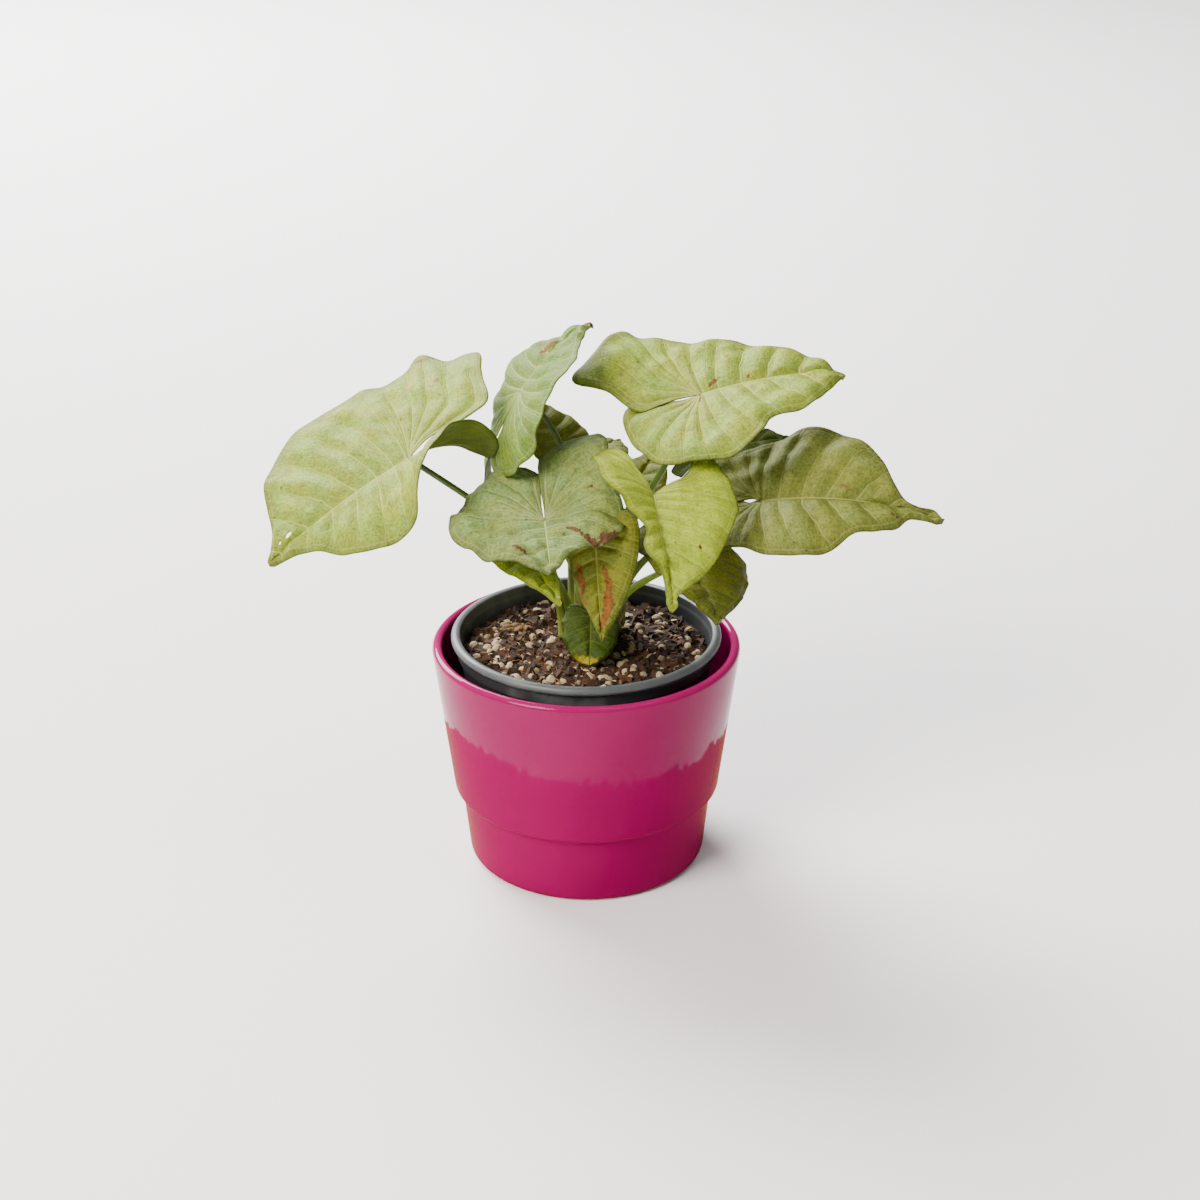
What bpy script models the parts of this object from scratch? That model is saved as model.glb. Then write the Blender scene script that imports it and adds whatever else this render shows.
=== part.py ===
"""Arrowhead plant in a nursery pot, standing in a glazed cover pot.

Metres, +Z up. The origin is at the centre of the cover pot's underside, and the
photographed front of the plant faces -Y.
"""

import math
from dataclasses import dataclass

import bmesh
import bpy
from mathutils import Matrix, Vector

MM = 0.001
SEAT_GAP = 0.3 * MM

# Cover pot: straight flared upper wall, a small ledge, a narrower foot
COVER_HEIGHT = 103.5 * MM
COVER_RIM_R = 68.5 * MM
COVER_LEDGE_R = 60.2 * MM
COVER_LEDGE_Z = 33.5 * MM
COVER_FOOT_TOP_R = 57.0 * MM
COVER_FOOT_R = 53.8 * MM
COVER_WALL = 4.6 * MM
COVER_FLOOR = 5.0 * MM
COVER_EDGE = 2.2 * MM
COVER_LEDGE_SOFT = 1.5 * MM
COVER_LEDGE_DROP = 0.8 * MM
# The wall keeps straight for this far below the lip, and leans in by this much there
COVER_LIP_REACH = 14.0 * MM
COVER_LIP_LEAN = 1.2 * MM
COVER_INNER_LEDGE_RISE = 4.0 * MM
COVER_INNER_FOOT_RISE = 5.0 * MM
COVER_INNER_FOOT_OUT = 0.5 * MM
COVER_INNER_FOOT_IN = 3.0 * MM

# Nursery pot: a common 12 cm pot with a rolled rim
NURSERY_RIM_R = 60.0 * MM
NURSERY_RIM_TOP = 108.3 * MM
NURSERY_RIM_DEPTH = 4.2 * MM
NURSERY_RIM_WIDTH = 4.0 * MM
NURSERY_NECK_R = 57.6 * MM
NURSERY_BODY_TOP_R = 56.6 * MM
NURSERY_BASE_R = 43.0 * MM
NURSERY_WALL = 1.4 * MM
NURSERY_FLOOR = 1.8 * MM
DRAIN_HOLES = 8
DRAIN_HOLE_R = 3.5 * MM
DRAIN_RING_R = 31.0 * MM
DRAIN_CUT_SIDES = 12
DRAIN_CUT_DEPTH = 10.0 * MM
NURSERY_FOOT_EDGE = 1.5 * MM
NURSERY_NECK_DEPTH = 6.0 * MM
NURSERY_NECK_STEP = 1.0 * MM
NURSERY_NECK_SET_IN = 0.6 * MM
NURSERY_RIM_GROOVE = 0.2 * MM
NURSERY_LIP_EDGE = 0.8 * MM

# Growing mix
SOIL_TOP = 98.0 * MM
SOIL_DOME = 2.5 * MM
SOIL_DOME_R = 56.0 * MM
SOIL_EDGE_DROP = 2.0 * MM
# Rings of vertices over the top, as shares of its radius
SOIL_RINGS = [0.12, 0.28, 0.42, 0.56, 0.70, 0.84, 1.0]
# Lumps: two heights, and how far apart the lumps are along x, y and the diagonal
SOIL_LUMP = 0.8 * MM
SOIL_LUMP_X = 6.0 * MM
SOIL_LUMP_Y = 7.0 * MM
SOIL_LUMP_START = 1.3
SOIL_SWELL = 0.6 * MM
SOIL_SWELL_REACH = 11.0 * MM
# Flat seat round the crown, and how far it takes to rise to full lumps
SOIL_SEAT_MARGIN = 9.0 * MM
SOIL_SEAT_BLEND = 10.0 * MM

# Crown: the short woody base that every leaf stalk grows from
CROWN_CENTRE = Vector((2 * MM, 5 * MM))
CROWN_R = 16.0 * MM
CROWN_TOP = 105.5 * MM
CROWN_EDGE = 3.5 * MM
CROWN_UNDERCUT = 1.0 * MM
CROWN_STEPS = 24

ROUND_STEPS = 40
BLADE_THICKNESS = 0.8 * MM
BLADE_ROWS = 4
LOBE_RIBS = 6
BODY_RIBS = 8
SMALL_LEAF = 32 * MM
SMALL_LOBE_RIBS = 3
SMALL_BODY_RIBS = 5
OUTLINE_STEPS = 6
STALK_SIDES_RESOLUTION = 2
STALK_POINTS = 14


@dataclass
class Half:
    """One half of a blade, from the notch at its stalk round to the tip.

    outline holds (along the midrib, out from the midrib) in millimetres, and
    negative values along are the lobe behind the stalk. The angles bend the
    half: fold lifts it at the midrib, curl bends it further towards its edge,
    lobe_bend lowers the lobe, lobe_fold turns the lobe up about its root, and lobe_curl
    rolls its margin up.
    """

    outline: list
    fold: float = 10
    curl: float = -20
    lobe_bend: float = 5
    lobe_fold: float = 0
    lobe_curl: float = 0


@dataclass
class Leaf:
    """A blade and its stalk. Lengths are millimetres and angles are degrees."""

    name: str
    junction: tuple
    heading: float
    pitch: float
    roll: float
    length: float
    left: Half
    right: Half
    root: tuple
    arrive: tuple
    droop: float = 15
    tip_curl: float = 8
    twist: float = 0
    fold_start: float = 0.0
    stalk_rise: float = 0.45
    stalk_reach: float = 0.30
    stalk_r: float = 2.0
    colour: tuple = (0.62, 0.74, 0.42)


def species_half(length, width, lobe, lobe_out=0.62, shoulder=0.92, fullness=0.0, **bends):
    """The usual half blade of this plant, scaled to its length, width and lobe."""
    outline = [
        (-0.40 * lobe, 0.12 * width),
        (-0.82 * lobe, 0.62 * lobe_out * width),
        (-lobe, lobe_out * width),
        (-0.55 * lobe, shoulder * width),
        (0.05 * length, width),
        (0.35 * length, (0.84 + fullness) * width),
        (0.65 * length, (0.50 + fullness) * width),
        (0.87 * length, (0.18 + 0.7 * fullness) * width),
    ]
    return Half(outline, **bends)


PALE = (0.60, 0.74, 0.50)
YELLOW_GREEN = (0.66, 0.74, 0.30)
OLIVE = (0.42, 0.56, 0.22)
WITHERED = (0.40, 0.24, 0.08)

ROUND_HALF = Half([(-3, 4), (-4, 9), (0, 12), (8, 13), (16, 10), (21, 5)], fold=5, curl=-30)

LEAVES = [
    Leaf(
        "far_left", junction=(-75, -6, 191), heading=200, pitch=-25, roll=0, length=75,
        left=Half(
            [(-18, 3), (-28, 5), (-33, 10), (-32, 19), (-25, 24), (-12, 27), (8, 36), (27, 35),
             (45, 25), (57, 11)],
            fold=-5, curl=-25, lobe_bend=66, lobe_fold=58, lobe_curl=55,
        ),
        right=Half(
            [(-12, 4), (-28, 1), (-42, 3), (-47, 20), (-53, 40), (-40, 50), (-32, 62), (-20, 56),
             (2, 57), (14, 58), (36, 50), (55, 34), (65, 12)],
            fold=20, curl=-15, lobe_bend=-5, lobe_fold=5,
        ),
        root=(-7, 3), droop=15, tip_curl=8, twist=-15, fold_start=0.35, arrive=(-0.78, -0.1, 0.62),
        stalk_rise=0.35, colour=PALE,
    ),
    Leaf(
        "top_right", junction=(49, 10, 214), heading=8, pitch=16, roll=22, length=67,
        left=Half(
            [(-10, 2.6), (-17, 1.0), (-28, 0.5), (-37, 13), (-50, 25), (-37, 37), (-21, 50),
             (-12, 43), (6, 38), (37, 24), (60, 9)],
            fold=6, curl=-20, lobe_bend=1, lobe_fold=15,
        ),
        right=Half(
            [(-9, 1.6), (-16, -3), (-26, -7), (-34, -2), (-35, 14), (-28, 33), (-12, 39),
             (5, 41), (18, 34), (24, 27), (39, 26), (52, 15)],
            fold=9, curl=-15, lobe_bend=4, lobe_fold=5,
        ),
        root=(6, 8), droop=24, tip_curl=40, twist=-9, arrive=(0.3, 0, 0.95), stalk_rise=0.35,
        colour=PALE,
    ),
    Leaf(
        "right", junction=(75, -5, 171), heading=-11, pitch=12, roll=20, length=80,
        left=Half(
            [(-4, 1.6), (-11, 1), (-21, 4), (-31, 17), (-26, 30), (-7, 27), (8, 32), (22, 36),
             (40, 31), (50, 22), (56, 12), (65, 6), (72, 4.5)],
            fold=22, curl=-15, lobe_bend=4,
        ),
        right=Half(
            [(-4, 1.2), (-10, -2), (-18, -5), (-27, -1), (-29, 12), (-24, 26), (-12, 31), (6, 35), (21, 36),
             (31, 32), (39, 23), (49, 18), (61, 8), (70, 4)],
            fold=15, curl=-25, lobe_bend=6,
        ),
        root=(13, 6), droop=36, tip_curl=12, twist=10, arrive=(0.85, -0.2, 0.5), colour=OLIVE,
    ),
    Leaf(
        "centre", junction=(-17, -35, 174), heading=-84, pitch=-18, roll=8, length=31,
        left=Half(
            [(-8, 1.6), (-22, 0.6), (-37, 3), (-43, 20), (-40, 31), (-20, 31), (6, 34), (16, 27), (23, 14)],
            fold=9, curl=-15, lobe_bend=-15, lobe_fold=8,
        ),
        right=Half(
            [(-9, 1.2), (-20, -0.8), (-31, 0), (-37, 12), (-33, 24), (-20, 34), (-2, 40), (14, 30), (23, 17)],
            fold=6, curl=-10, lobe_bend=0, lobe_fold=-5,
        ),
        root=(-1, 1), droop=5, tip_curl=3, arrive=(-0.2, -0.7, 0.7), colour=PALE,
    ),
    Leaf(
        "front_right", junction=(28, -38, 187), heading=-80, pitch=-30, roll=-15, length=57,
        left=Half(
            [(-5, 7), (-10, 16), (-20, 22), (-21, 28), (2, 36), (11, 34), (29, 24), (40, 15),
             (48, 5), (51, 2.4), (54, 2.8)],
            fold=12, curl=-6, lobe_bend=10,
        ),
        right=Half(
            [(-10, 6), (-24, 13), (-14, 26), (3, 27), (13, 18), (22, 11), (32, 12), (40, 5),
             (47, 2.4), (51, 1.8), (54, 2.6)],
            fold=32, curl=-25, lobe_bend=20, lobe_fold=-8,
        ),
        root=(5, 2), droop=8, tip_curl=8, twist=-12, arrive=(0.3, -0.6, 0.75), colour=YELLOW_GREEN,
    ),
    Leaf(
        "upright", junction=(-28, 15.5, 213.4), heading=35, pitch=53, roll=-7, length=45,
        left=Half(
            [(-9, 1), (-28, 1.2), (-43, 6), (-47, 17), (-42, 27), (-28, 32), (-10, 30), (3, 33), (14, 35),
             (23, 26), (31, 11), (39, 6)],
            fold=-5, curl=-15, lobe_bend=24, lobe_fold=-10,
        ),
        right=Half(
            [(-12, 1), (-26, 1.4), (-36, 8), (-34, 20), (-24, 33), (-9, 42), (10, 38), (20, 32), (33, 15)],
            fold=19, curl=-8, lobe_bend=20, lobe_fold=-15,
        ),
        root=(-3, 8), droop=38, tip_curl=10, twist=7, arrive=(-0.7, 0, 0.7), stalk_rise=0.6,
        colour=PALE,
    ),
    Leaf(
        "hanging_front", junction=(4, -38, 169), heading=-82, pitch=-67, roll=12, length=47,
        left=species_half(47, 19, 12, fold=15, curl=-14, lobe_bend=60),
        right=species_half(47, 15, 10, fold=-5, curl=-30, lobe_bend=60),
        root=(3, -4), droop=25, tip_curl=5, twist=10, arrive=(0, -0.75, 0.66), colour=OLIVE,
    ),
    Leaf(
        "low_left", junction=(-31, -20, 157), heading=-58, pitch=-20, roll=-5, length=42,
        left=species_half(42, 16, 13, fold=9, curl=-30),
        right=species_half(42, 19, 11, fold=15, curl=-15),
        root=(-10, -2), droop=-5, tip_curl=10, twist=-7, arrive=(-0.5, -0.3, 0.8), colour=OLIVE,
    ),
    Leaf(
        "low_right", junction=(44, -21, 153), heading=-75, pitch=-22, roll=-8, length=43,
        left=species_half(43, 30, 16, fold=0, curl=-30),
        right=species_half(43, 26, 16, fold=20, curl=-15),
        root=(11, -1), droop=-5, tip_curl=8, twist=-8, arrive=(0.6, -0.2, 0.75), colour=YELLOW_GREEN,
    ),
    Leaf(
        "back_left", junction=(-11, 26, 187), heading=135, pitch=40, roll=0, length=30,
        left=species_half(30, 17, 14),
        right=species_half(30, 17, 14),
        root=(-6, 14), droop=20, arrive=(-0.1, 0.4, 0.9), colour=YELLOW_GREEN,
    ),
    Leaf(
        "back_centre", junction=(3, 42, 176.5), heading=60, pitch=0, roll=0, length=26,
        left=species_half(26, 16, 12),
        right=species_half(26, 16, 12),
        root=(2, 13), arrive=(0, 0.6, 0.8), colour=PALE,
    ),
    Leaf(
        "back_mid", junction=(22, 24, 167), heading=60, pitch=35, roll=0, length=26,
        left=species_half(26, 14, 9),
        right=species_half(26, 14, 9),
        root=(8, 17), droop=20, arrive=(0.3, 0.3, 0.9), colour=YELLOW_GREEN,
    ),
    Leaf(
        "back_right", junction=(54, 38, 185), heading=20, pitch=5, roll=-35, length=38,
        left=species_half(38, 20, 17),
        right=species_half(38, 18, 16),
        root=(15, 11), arrive=(0.7, 0.2, 0.7), colour=OLIVE,
    ),
    Leaf(
        "base", junction=(2, -16, 123), heading=-92, pitch=-70, roll=0, length=23,
        left=ROUND_HALF, right=ROUND_HALF,
        root=(-1, -9), droop=-25, arrive=(0, -0.9, 0.4), stalk_rise=0.5, stalk_r=1.4, colour=OLIVE,
    ),
    Leaf(
        "dead", junction=(-28, 20, 100.4), heading=200, pitch=0, roll=10, length=13,
        left=Half([(-2, 2), (-1, 5), (4, 7), (9, 5)], fold=15, curl=-40),
        right=Half([(-2, 2), (-1, 4), (4, 6), (9, 4)], fold=20, curl=-50),
        root=None, arrive=None, droop=10, colour=WITHERED,
    ),
]

# Papery sheaths left round the feet of some stalks: leaf, facing in degrees, height
SHEATHS = [("centre", -120, 20), ("front_right", -60, 17), ("low_right", -30, 14)]
SHEATH_CLEAR = 0.6 * MM
SHEATH_THICKNESS = 0.6 * MM
SHEATH_FLARE = 0.8 * MM
SHEATH_SPAN = 150
SHEATH_STEPS = 8


def clear_scene():
    for scene_object in list(bpy.data.objects):
        bpy.data.objects.remove(scene_object, do_unlink=True)


def make_material(name, colour, roughness, metallic=0.0):
    material = bpy.data.materials.new(name)
    material.use_nodes = True
    shader = material.node_tree.nodes["Principled BSDF"]
    shader.inputs["Base Color"].default_value = (*colour, 1.0)
    shader.inputs["Roughness"].default_value = roughness
    shader.inputs["Metallic"].default_value = metallic
    return material


def add_object(name, mesh, material):
    mesh.materials.append(material)
    new_object = bpy.data.objects.new(name, mesh)
    bpy.context.collection.objects.link(new_object)
    return new_object


def finish_mesh(name, shape, material, smooth_angle=35):
    bmesh.ops.recalc_face_normals(shape, faces=shape.faces)
    mesh = bpy.data.meshes.new(name)
    shape.to_mesh(mesh)
    shape.free()
    mesh.shade_smooth()
    mesh.set_sharp_from_angle(angle=math.radians(smooth_angle))
    return add_object(name, mesh, material)


def turned(profile, steps=ROUND_STEPS):
    """A closed solid of revolution from (radius, height) points, both ends on the axis."""
    shape = bmesh.new()
    verts = [shape.verts.new((radius, 0.0, height)) for radius, height in profile]
    edges = [shape.edges.new(pair) for pair in zip(verts, verts[1:])]
    bmesh.ops.spin(
        shape, geom=verts + edges, cent=(0, 0, 0), axis=(0, 0, 1),
        angle=math.tau, steps=steps, use_merge=True,
    )
    bmesh.ops.remove_doubles(shape, verts=shape.verts, dist=0.01 * MM)
    return shape


def quarter_round(centre, radius, start, end, steps=4):
    """Points of an arc in the (radius, height) plane, angles in degrees."""
    points = []
    for step in range(steps + 1):
        angle = math.radians(start + (end - start) * step / steps)
        points.append((centre[0] + radius * math.cos(angle), centre[1] + radius * math.sin(angle)))
    return points


def cover_pot_profile():
    inner_rim_r = COVER_RIM_R - COVER_WALL
    lip_r = COVER_WALL / 2
    lip_centre = (COVER_RIM_R - lip_r, COVER_HEIGHT - lip_r)
    outer = [(0.0, 0.0), (COVER_FOOT_R - COVER_EDGE, 0.0)]
    outer += quarter_round((COVER_FOOT_R - COVER_EDGE, COVER_EDGE), COVER_EDGE, -60, 0, 3)
    outer += [
        (COVER_FOOT_TOP_R, COVER_LEDGE_Z - COVER_LEDGE_DROP),
        (COVER_LEDGE_R - COVER_LEDGE_SOFT, COVER_LEDGE_Z),
        (COVER_LEDGE_R, COVER_LEDGE_Z + COVER_LEDGE_SOFT),
    ]
    lip = quarter_round(lip_centre, lip_r, 0, 180, 8)
    inner_foot_r = COVER_FOOT_R - COVER_WALL
    inner = [
        (inner_rim_r - COVER_LIP_LEAN, COVER_HEIGHT - COVER_LIP_REACH),
        (COVER_LEDGE_R - COVER_WALL, COVER_LEDGE_Z + COVER_INNER_LEDGE_RISE),
        (inner_foot_r + COVER_INNER_FOOT_OUT, COVER_FLOOR + COVER_INNER_FOOT_RISE),
        (inner_foot_r - COVER_INNER_FOOT_IN, COVER_FLOOR),
        (0.0, COVER_FLOOR),
    ]
    return outer + lip + inner


def nursery_bottom():
    return COVER_FLOOR + SEAT_GAP


def nursery_inner_r(height):
    """Inner radius of the nursery pot at a height."""
    low = nursery_bottom() + NURSERY_FLOOR
    high = NURSERY_RIM_TOP - NURSERY_RIM_DEPTH
    share = (height - low) / (high - low)
    base = NURSERY_BASE_R - NURSERY_WALL
    return base + (NURSERY_BODY_TOP_R - NURSERY_WALL - base) * share


def nursery_pot_profile():
    bottom = nursery_bottom()
    rim_low = NURSERY_RIM_TOP - NURSERY_RIM_DEPTH
    rim_r = NURSERY_RIM_DEPTH / 2
    neck_low = rim_low - NURSERY_NECK_DEPTH
    outer = [
        (0.0, bottom),
        (NURSERY_BASE_R - NURSERY_FOOT_EDGE, bottom),
        (NURSERY_BASE_R, bottom + NURSERY_FOOT_EDGE),
        (NURSERY_BODY_TOP_R - NURSERY_NECK_SET_IN, neck_low),
        (NURSERY_NECK_R, neck_low + NURSERY_NECK_STEP),
        (NURSERY_NECK_R, rim_low - NURSERY_RIM_GROOVE),
    ]
    rim = quarter_round((NURSERY_RIM_R - rim_r, NURSERY_RIM_TOP - rim_r), rim_r, -60, 90, 5)
    inner_lip = NURSERY_RIM_R - NURSERY_RIM_WIDTH
    inner = [
        (inner_lip + NURSERY_LIP_EDGE, NURSERY_RIM_TOP),
        (inner_lip, NURSERY_RIM_TOP - NURSERY_LIP_EDGE),
        (nursery_inner_r(rim_low), rim_low),
        (nursery_inner_r(bottom + NURSERY_FLOOR), bottom + NURSERY_FLOOR),
        (0.0, bottom + NURSERY_FLOOR),
    ]
    return outer + rim + inner


def drain_hole_cutter(index):
    angle = math.tau * index / DRAIN_HOLES
    shape = bmesh.new()
    bmesh.ops.create_cone(
        shape, cap_ends=True, segments=DRAIN_CUT_SIDES, radius1=DRAIN_HOLE_R, radius2=DRAIN_HOLE_R,
        depth=DRAIN_CUT_DEPTH,
    )
    place = Vector((DRAIN_RING_R * math.cos(angle), DRAIN_RING_R * math.sin(angle), nursery_bottom()))
    bmesh.ops.translate(shape, verts=shape.verts, vec=place)
    mesh = bpy.data.meshes.new(f"drain_hole_{index}")
    shape.to_mesh(mesh)
    shape.free()
    cutter = bpy.data.objects.new(mesh.name, mesh)
    bpy.context.collection.objects.link(cutter)
    cutter.hide_render = True
    cutter.display_type = "WIRE"
    return cutter


def build_pots():
    glaze = make_material("magenta_glaze", (0.60, 0.02, 0.28), 0.08)
    grey = make_material("grey_plastic", (0.12, 0.14, 0.15), 0.45)
    finish_mesh("cover_pot", turned(cover_pot_profile()), glaze)
    nursery = finish_mesh("nursery_pot", turned(nursery_pot_profile()), grey)
    for index in range(DRAIN_HOLES):
        cut = nursery.modifiers.new(f"drain_{index}", "BOOLEAN")
        cut.operation = "DIFFERENCE"
        cut.solver = "EXACT"
        cut.object = drain_hole_cutter(index)


def soil_height(x, y):
    """Lumpy top of the growing mix, highest round the crown and flat under it."""
    lumps = SOIL_LUMP * math.sin(x / SOIL_LUMP_X + SOIL_LUMP_START) * math.cos(y / SOIL_LUMP_Y)
    lumps += SOIL_SWELL * math.sin((x + y) / SOIL_SWELL_REACH)
    from_crown = (Vector((x, y)) - CROWN_CENTRE).length
    away = min(1.0, max(0.0, (from_crown - CROWN_R - SOIL_SEAT_MARGIN) / SOIL_SEAT_BLEND))
    dome = SOIL_DOME * (1 - (math.hypot(x, y) / SOIL_DOME_R) ** 2)
    return SOIL_TOP + dome * away + lumps * away


def build_soil():
    earth = make_material("growing_mix", (0.07, 0.04, 0.025), 0.95)
    bottom = nursery_bottom() + NURSERY_FLOOR + SEAT_GAP
    top_r = nursery_inner_r(SOIL_TOP - SOIL_EDGE_DROP) - SEAT_GAP
    low_r = nursery_inner_r(bottom) - SEAT_GAP
    shape = bmesh.new()
    loops = []
    for share in SOIL_RINGS:
        loop = []
        for step in range(ROUND_STEPS):
            angle = math.tau * step / ROUND_STEPS
            x = top_r * share * math.cos(angle)
            y = top_r * share * math.sin(angle)
            height = soil_height(x, y) if share < 1 else SOIL_TOP - SOIL_EDGE_DROP
            loop.append(shape.verts.new((x, y, height)))
        loops.append(loop)
    base = []
    for step in range(ROUND_STEPS):
        angle = math.tau * step / ROUND_STEPS
        base.append(shape.verts.new((low_r * math.cos(angle), low_r * math.sin(angle), bottom)))
    loops.append(base)
    for inner, outer in zip(loops, loops[1:]):
        for step in range(ROUND_STEPS):
            after = (step + 1) % ROUND_STEPS
            shape.faces.new((inner[step], outer[step], outer[after], inner[after]))
    shape.faces.new(loops[0])
    shape.faces.new(base)
    bmesh.ops.triangulate(shape, faces=shape.faces)
    finish_mesh("soil", shape, earth)


def build_crown():
    woody = make_material("crown", (0.16, 0.15, 0.06), 0.8)
    seat = SOIL_TOP + SEAT_GAP
    profile = [(0.0, seat), (CROWN_R - CROWN_UNDERCUT, seat)]
    profile += quarter_round((CROWN_R - CROWN_EDGE, CROWN_TOP - CROWN_EDGE), CROWN_EDGE, -20, 90, 4)
    profile += [(0.0, CROWN_TOP)]
    shape = turned(profile, CROWN_STEPS)
    bmesh.ops.translate(shape, verts=shape.verts, vec=(*CROWN_CENTRE, 0.0))
    finish_mesh("crown", shape, woody)


def smooth_step(value):
    value = min(1.0, max(0.0, value))
    return value * value * (3 - 2 * value)


def rounded_outline(half, length):
    """The half's outline as a smooth curve through its points, in metres."""
    points = [Vector((0.0, 0.0))]
    points += [Vector(point) * MM for point in half.outline]
    points.append(Vector((length, 0.0)))
    padded = [2 * points[0] - points[1], *points, 2 * points[-1] - points[-2]]
    curve = []
    for index in range(1, len(padded) - 2):
        before, start, end, after = padded[index - 1:index + 3]
        for step in range(OUTLINE_STEPS):
            t = step / OUTLINE_STEPS
            point = 0.5 * (
                2 * start + (end - before) * t
                + (2 * before - 5 * start + 4 * end - after) * t * t
                + (3 * start - before - 3 * end + after) * t ** 3
            )
            if point.x > 0.0:
                point.y = max(point.y, 0.0)
            curve.append(point)
    curve.append(points[-1])
    return curve


class BladeForm:
    """Bends a flat point of a leaf blade to its place in space."""

    STEPS = 60

    def __init__(self, leaf):
        self.leaf = leaf
        self.length = leaf.length * MM
        self.halves = {1: leaf.left, -1: leaf.right}
        self.width = {side: max(p[1] for p in half.outline) * MM for side, half in self.halves.items()}
        self.lobe = {side: -min(p[0] for p in half.outline) * MM for side, half in self.halves.items()}
        self.turn = (
            Matrix.Rotation(math.radians(leaf.heading), 3, "Z")
            @ Matrix.Rotation(math.radians(-leaf.pitch), 3, "Y")
            @ Matrix.Rotation(math.radians(leaf.roll), 3, "X")
        )
        self.junction = Vector(leaf.junction) * MM

    def slope(self, side, along):
        """How far the midrib, or the lobe behind it, has bent down at a point."""
        if along < 0:
            return math.radians(self.halves[side].lobe_bend) * along / self.lobe[side]
        share = along / self.length
        tip = math.radians(self.leaf.tip_curl) * smooth_step((share - 0.8) / 0.2)
        return math.radians(self.leaf.droop) * share + tip

    def spine(self, side, along):
        """The bent midrib's place, in the blade's own frame."""
        x = 0.0
        z = 0.0
        for step in range(self.STEPS):
            angle = self.slope(side, along * (step + 0.5) / self.STEPS)
            x += math.cos(angle) * along / self.STEPS
            z -= math.sin(angle) * along / self.STEPS
        return x, z

    def place(self, side, along, out):
        half = self.halves[side]
        x, z = self.spine(side, along)
        angle = self.slope(side, along)
        start = self.leaf.fold_start * self.length
        lobe_share = smooth_step((start - along) / (start + 0.8 * self.lobe[side]))
        fold = math.radians(half.fold + half.lobe_fold * lobe_share)
        fold += side * math.radians(self.leaf.twist) * along / self.length
        curl = math.radians(half.curl + half.lobe_curl * lobe_share)
        half_turn = curl / self.width[side] * out / 2
        chord = out * math.sin(half_turn) / half_turn if half_turn else out
        across = chord * math.cos(fold + half_turn)
        lift = chord * math.sin(fold + half_turn)
        local = Vector((x + lift * math.sin(angle), side * across, z + lift * math.cos(angle)))
        return self.turn @ local + self.junction

    def up(self):
        return self.turn @ Vector((0, 0, 1))


def spaced(points, count):
    """Points at equal distances along a line of points, both ends included."""
    reach = [0.0]
    for start, end in zip(points, points[1:]):
        reach.append(reach[-1] + (end - start).length)
    result = []
    index = 0
    for step in range(count + 1):
        target = reach[-1] * step / count
        while index < len(points) - 2 and reach[index + 1] < target:
            index += 1
        gap = reach[index + 1] - reach[index]
        share = (target - reach[index]) / gap if gap else 0.0
        result.append(points[index].lerp(points[index + 1], min(1.0, share)))
    return result


def ribs(half, length):
    """Pairs of points that the ribs of a half blade join, from its lobe's tip to its own tip.

    A rib starts on the notch's edge along the lobe and on the midrib along the body,
    and ends on the outer edge.
    """
    curve = rounded_outline(half, length)
    lobe_tip = min(range(len(curve)), key=lambda index: curve[index].x)
    shoulder = next(index for index in range(lobe_tip, len(curve)) if curve[index].x >= 0.0)
    large = length > SMALL_LEAF
    lobe_ribs = LOBE_RIBS if large else SMALL_LOBE_RIBS
    body_ribs = BODY_RIBS if large else SMALL_BODY_RIBS
    notch = spaced(curve[:lobe_tip + 1], lobe_ribs)[::-1]
    lobe = spaced(curve[lobe_tip:shoulder + 1], lobe_ribs)
    body = spaced(curve[shoulder:], body_ribs)
    pairs = list(zip(notch, lobe))
    for step, point in enumerate(body[1:], 1):
        pairs.append((Vector((length * step / body_ribs, 0.0)), point))
    return pairs


def build_blade(leaf, form):
    shape = bmesh.new()
    for side in (1, -1):
        rows = []
        for foot, edge_point in ribs(form.halves[side], form.length):
            row = []
            for step in range(BLADE_ROWS + 1):
                along, out = foot.lerp(edge_point, step / BLADE_ROWS)
                row.append(shape.verts.new(form.place(side, along, out)))
            rows.append(row)
        for row, after in zip(rows, rows[1:]):
            for step in range(BLADE_ROWS):
                corners = [row[step], after[step], after[step + 1], row[step + 1]]
                shape.faces.new(corners if side < 0 else corners[::-1])
    bmesh.ops.remove_doubles(shape, verts=shape.verts, dist=0.05 * MM)
    material = make_material(f"{leaf.name}_green", leaf.colour, 0.5)
    blade = finish_mesh(f"leaf_{leaf.name}", shape, material)
    skin = blade.modifiers.new("thickness", "SOLIDIFY")
    skin.thickness = BLADE_THICKNESS
    skin.offset = 0.0
    return blade


def stalk_route(leaf, form):
    """Centre line of a stalk, straight up from the crown, then over to its blade."""
    root = Vector((leaf.root[0] * MM, leaf.root[1] * MM, CROWN_TOP + SEAT_GAP))
    tip_r = leaf.stalk_r * MM * 0.6
    arrive = Vector(leaf.arrive).normalized()
    tilt = arrive.angle(form.up())
    clear = BLADE_THICKNESS / 2 + SEAT_GAP + tip_r * math.sin(tilt)
    end = form.junction - form.up() * clear
    span = (end - root).length
    lift = root + Vector((0, 0, 1)) * span * leaf.stalk_rise
    lead = end - arrive * span * leaf.stalk_reach
    route = []
    for step in range(STALK_POINTS):
        t = step / (STALK_POINTS - 1)
        point = root * (1 - t) ** 3 + lift * 3 * t * (1 - t) ** 2
        point += lead * 3 * t * t * (1 - t) + end * t ** 3
        route.append((point, 1 - 0.4 * t))
    return route


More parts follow.
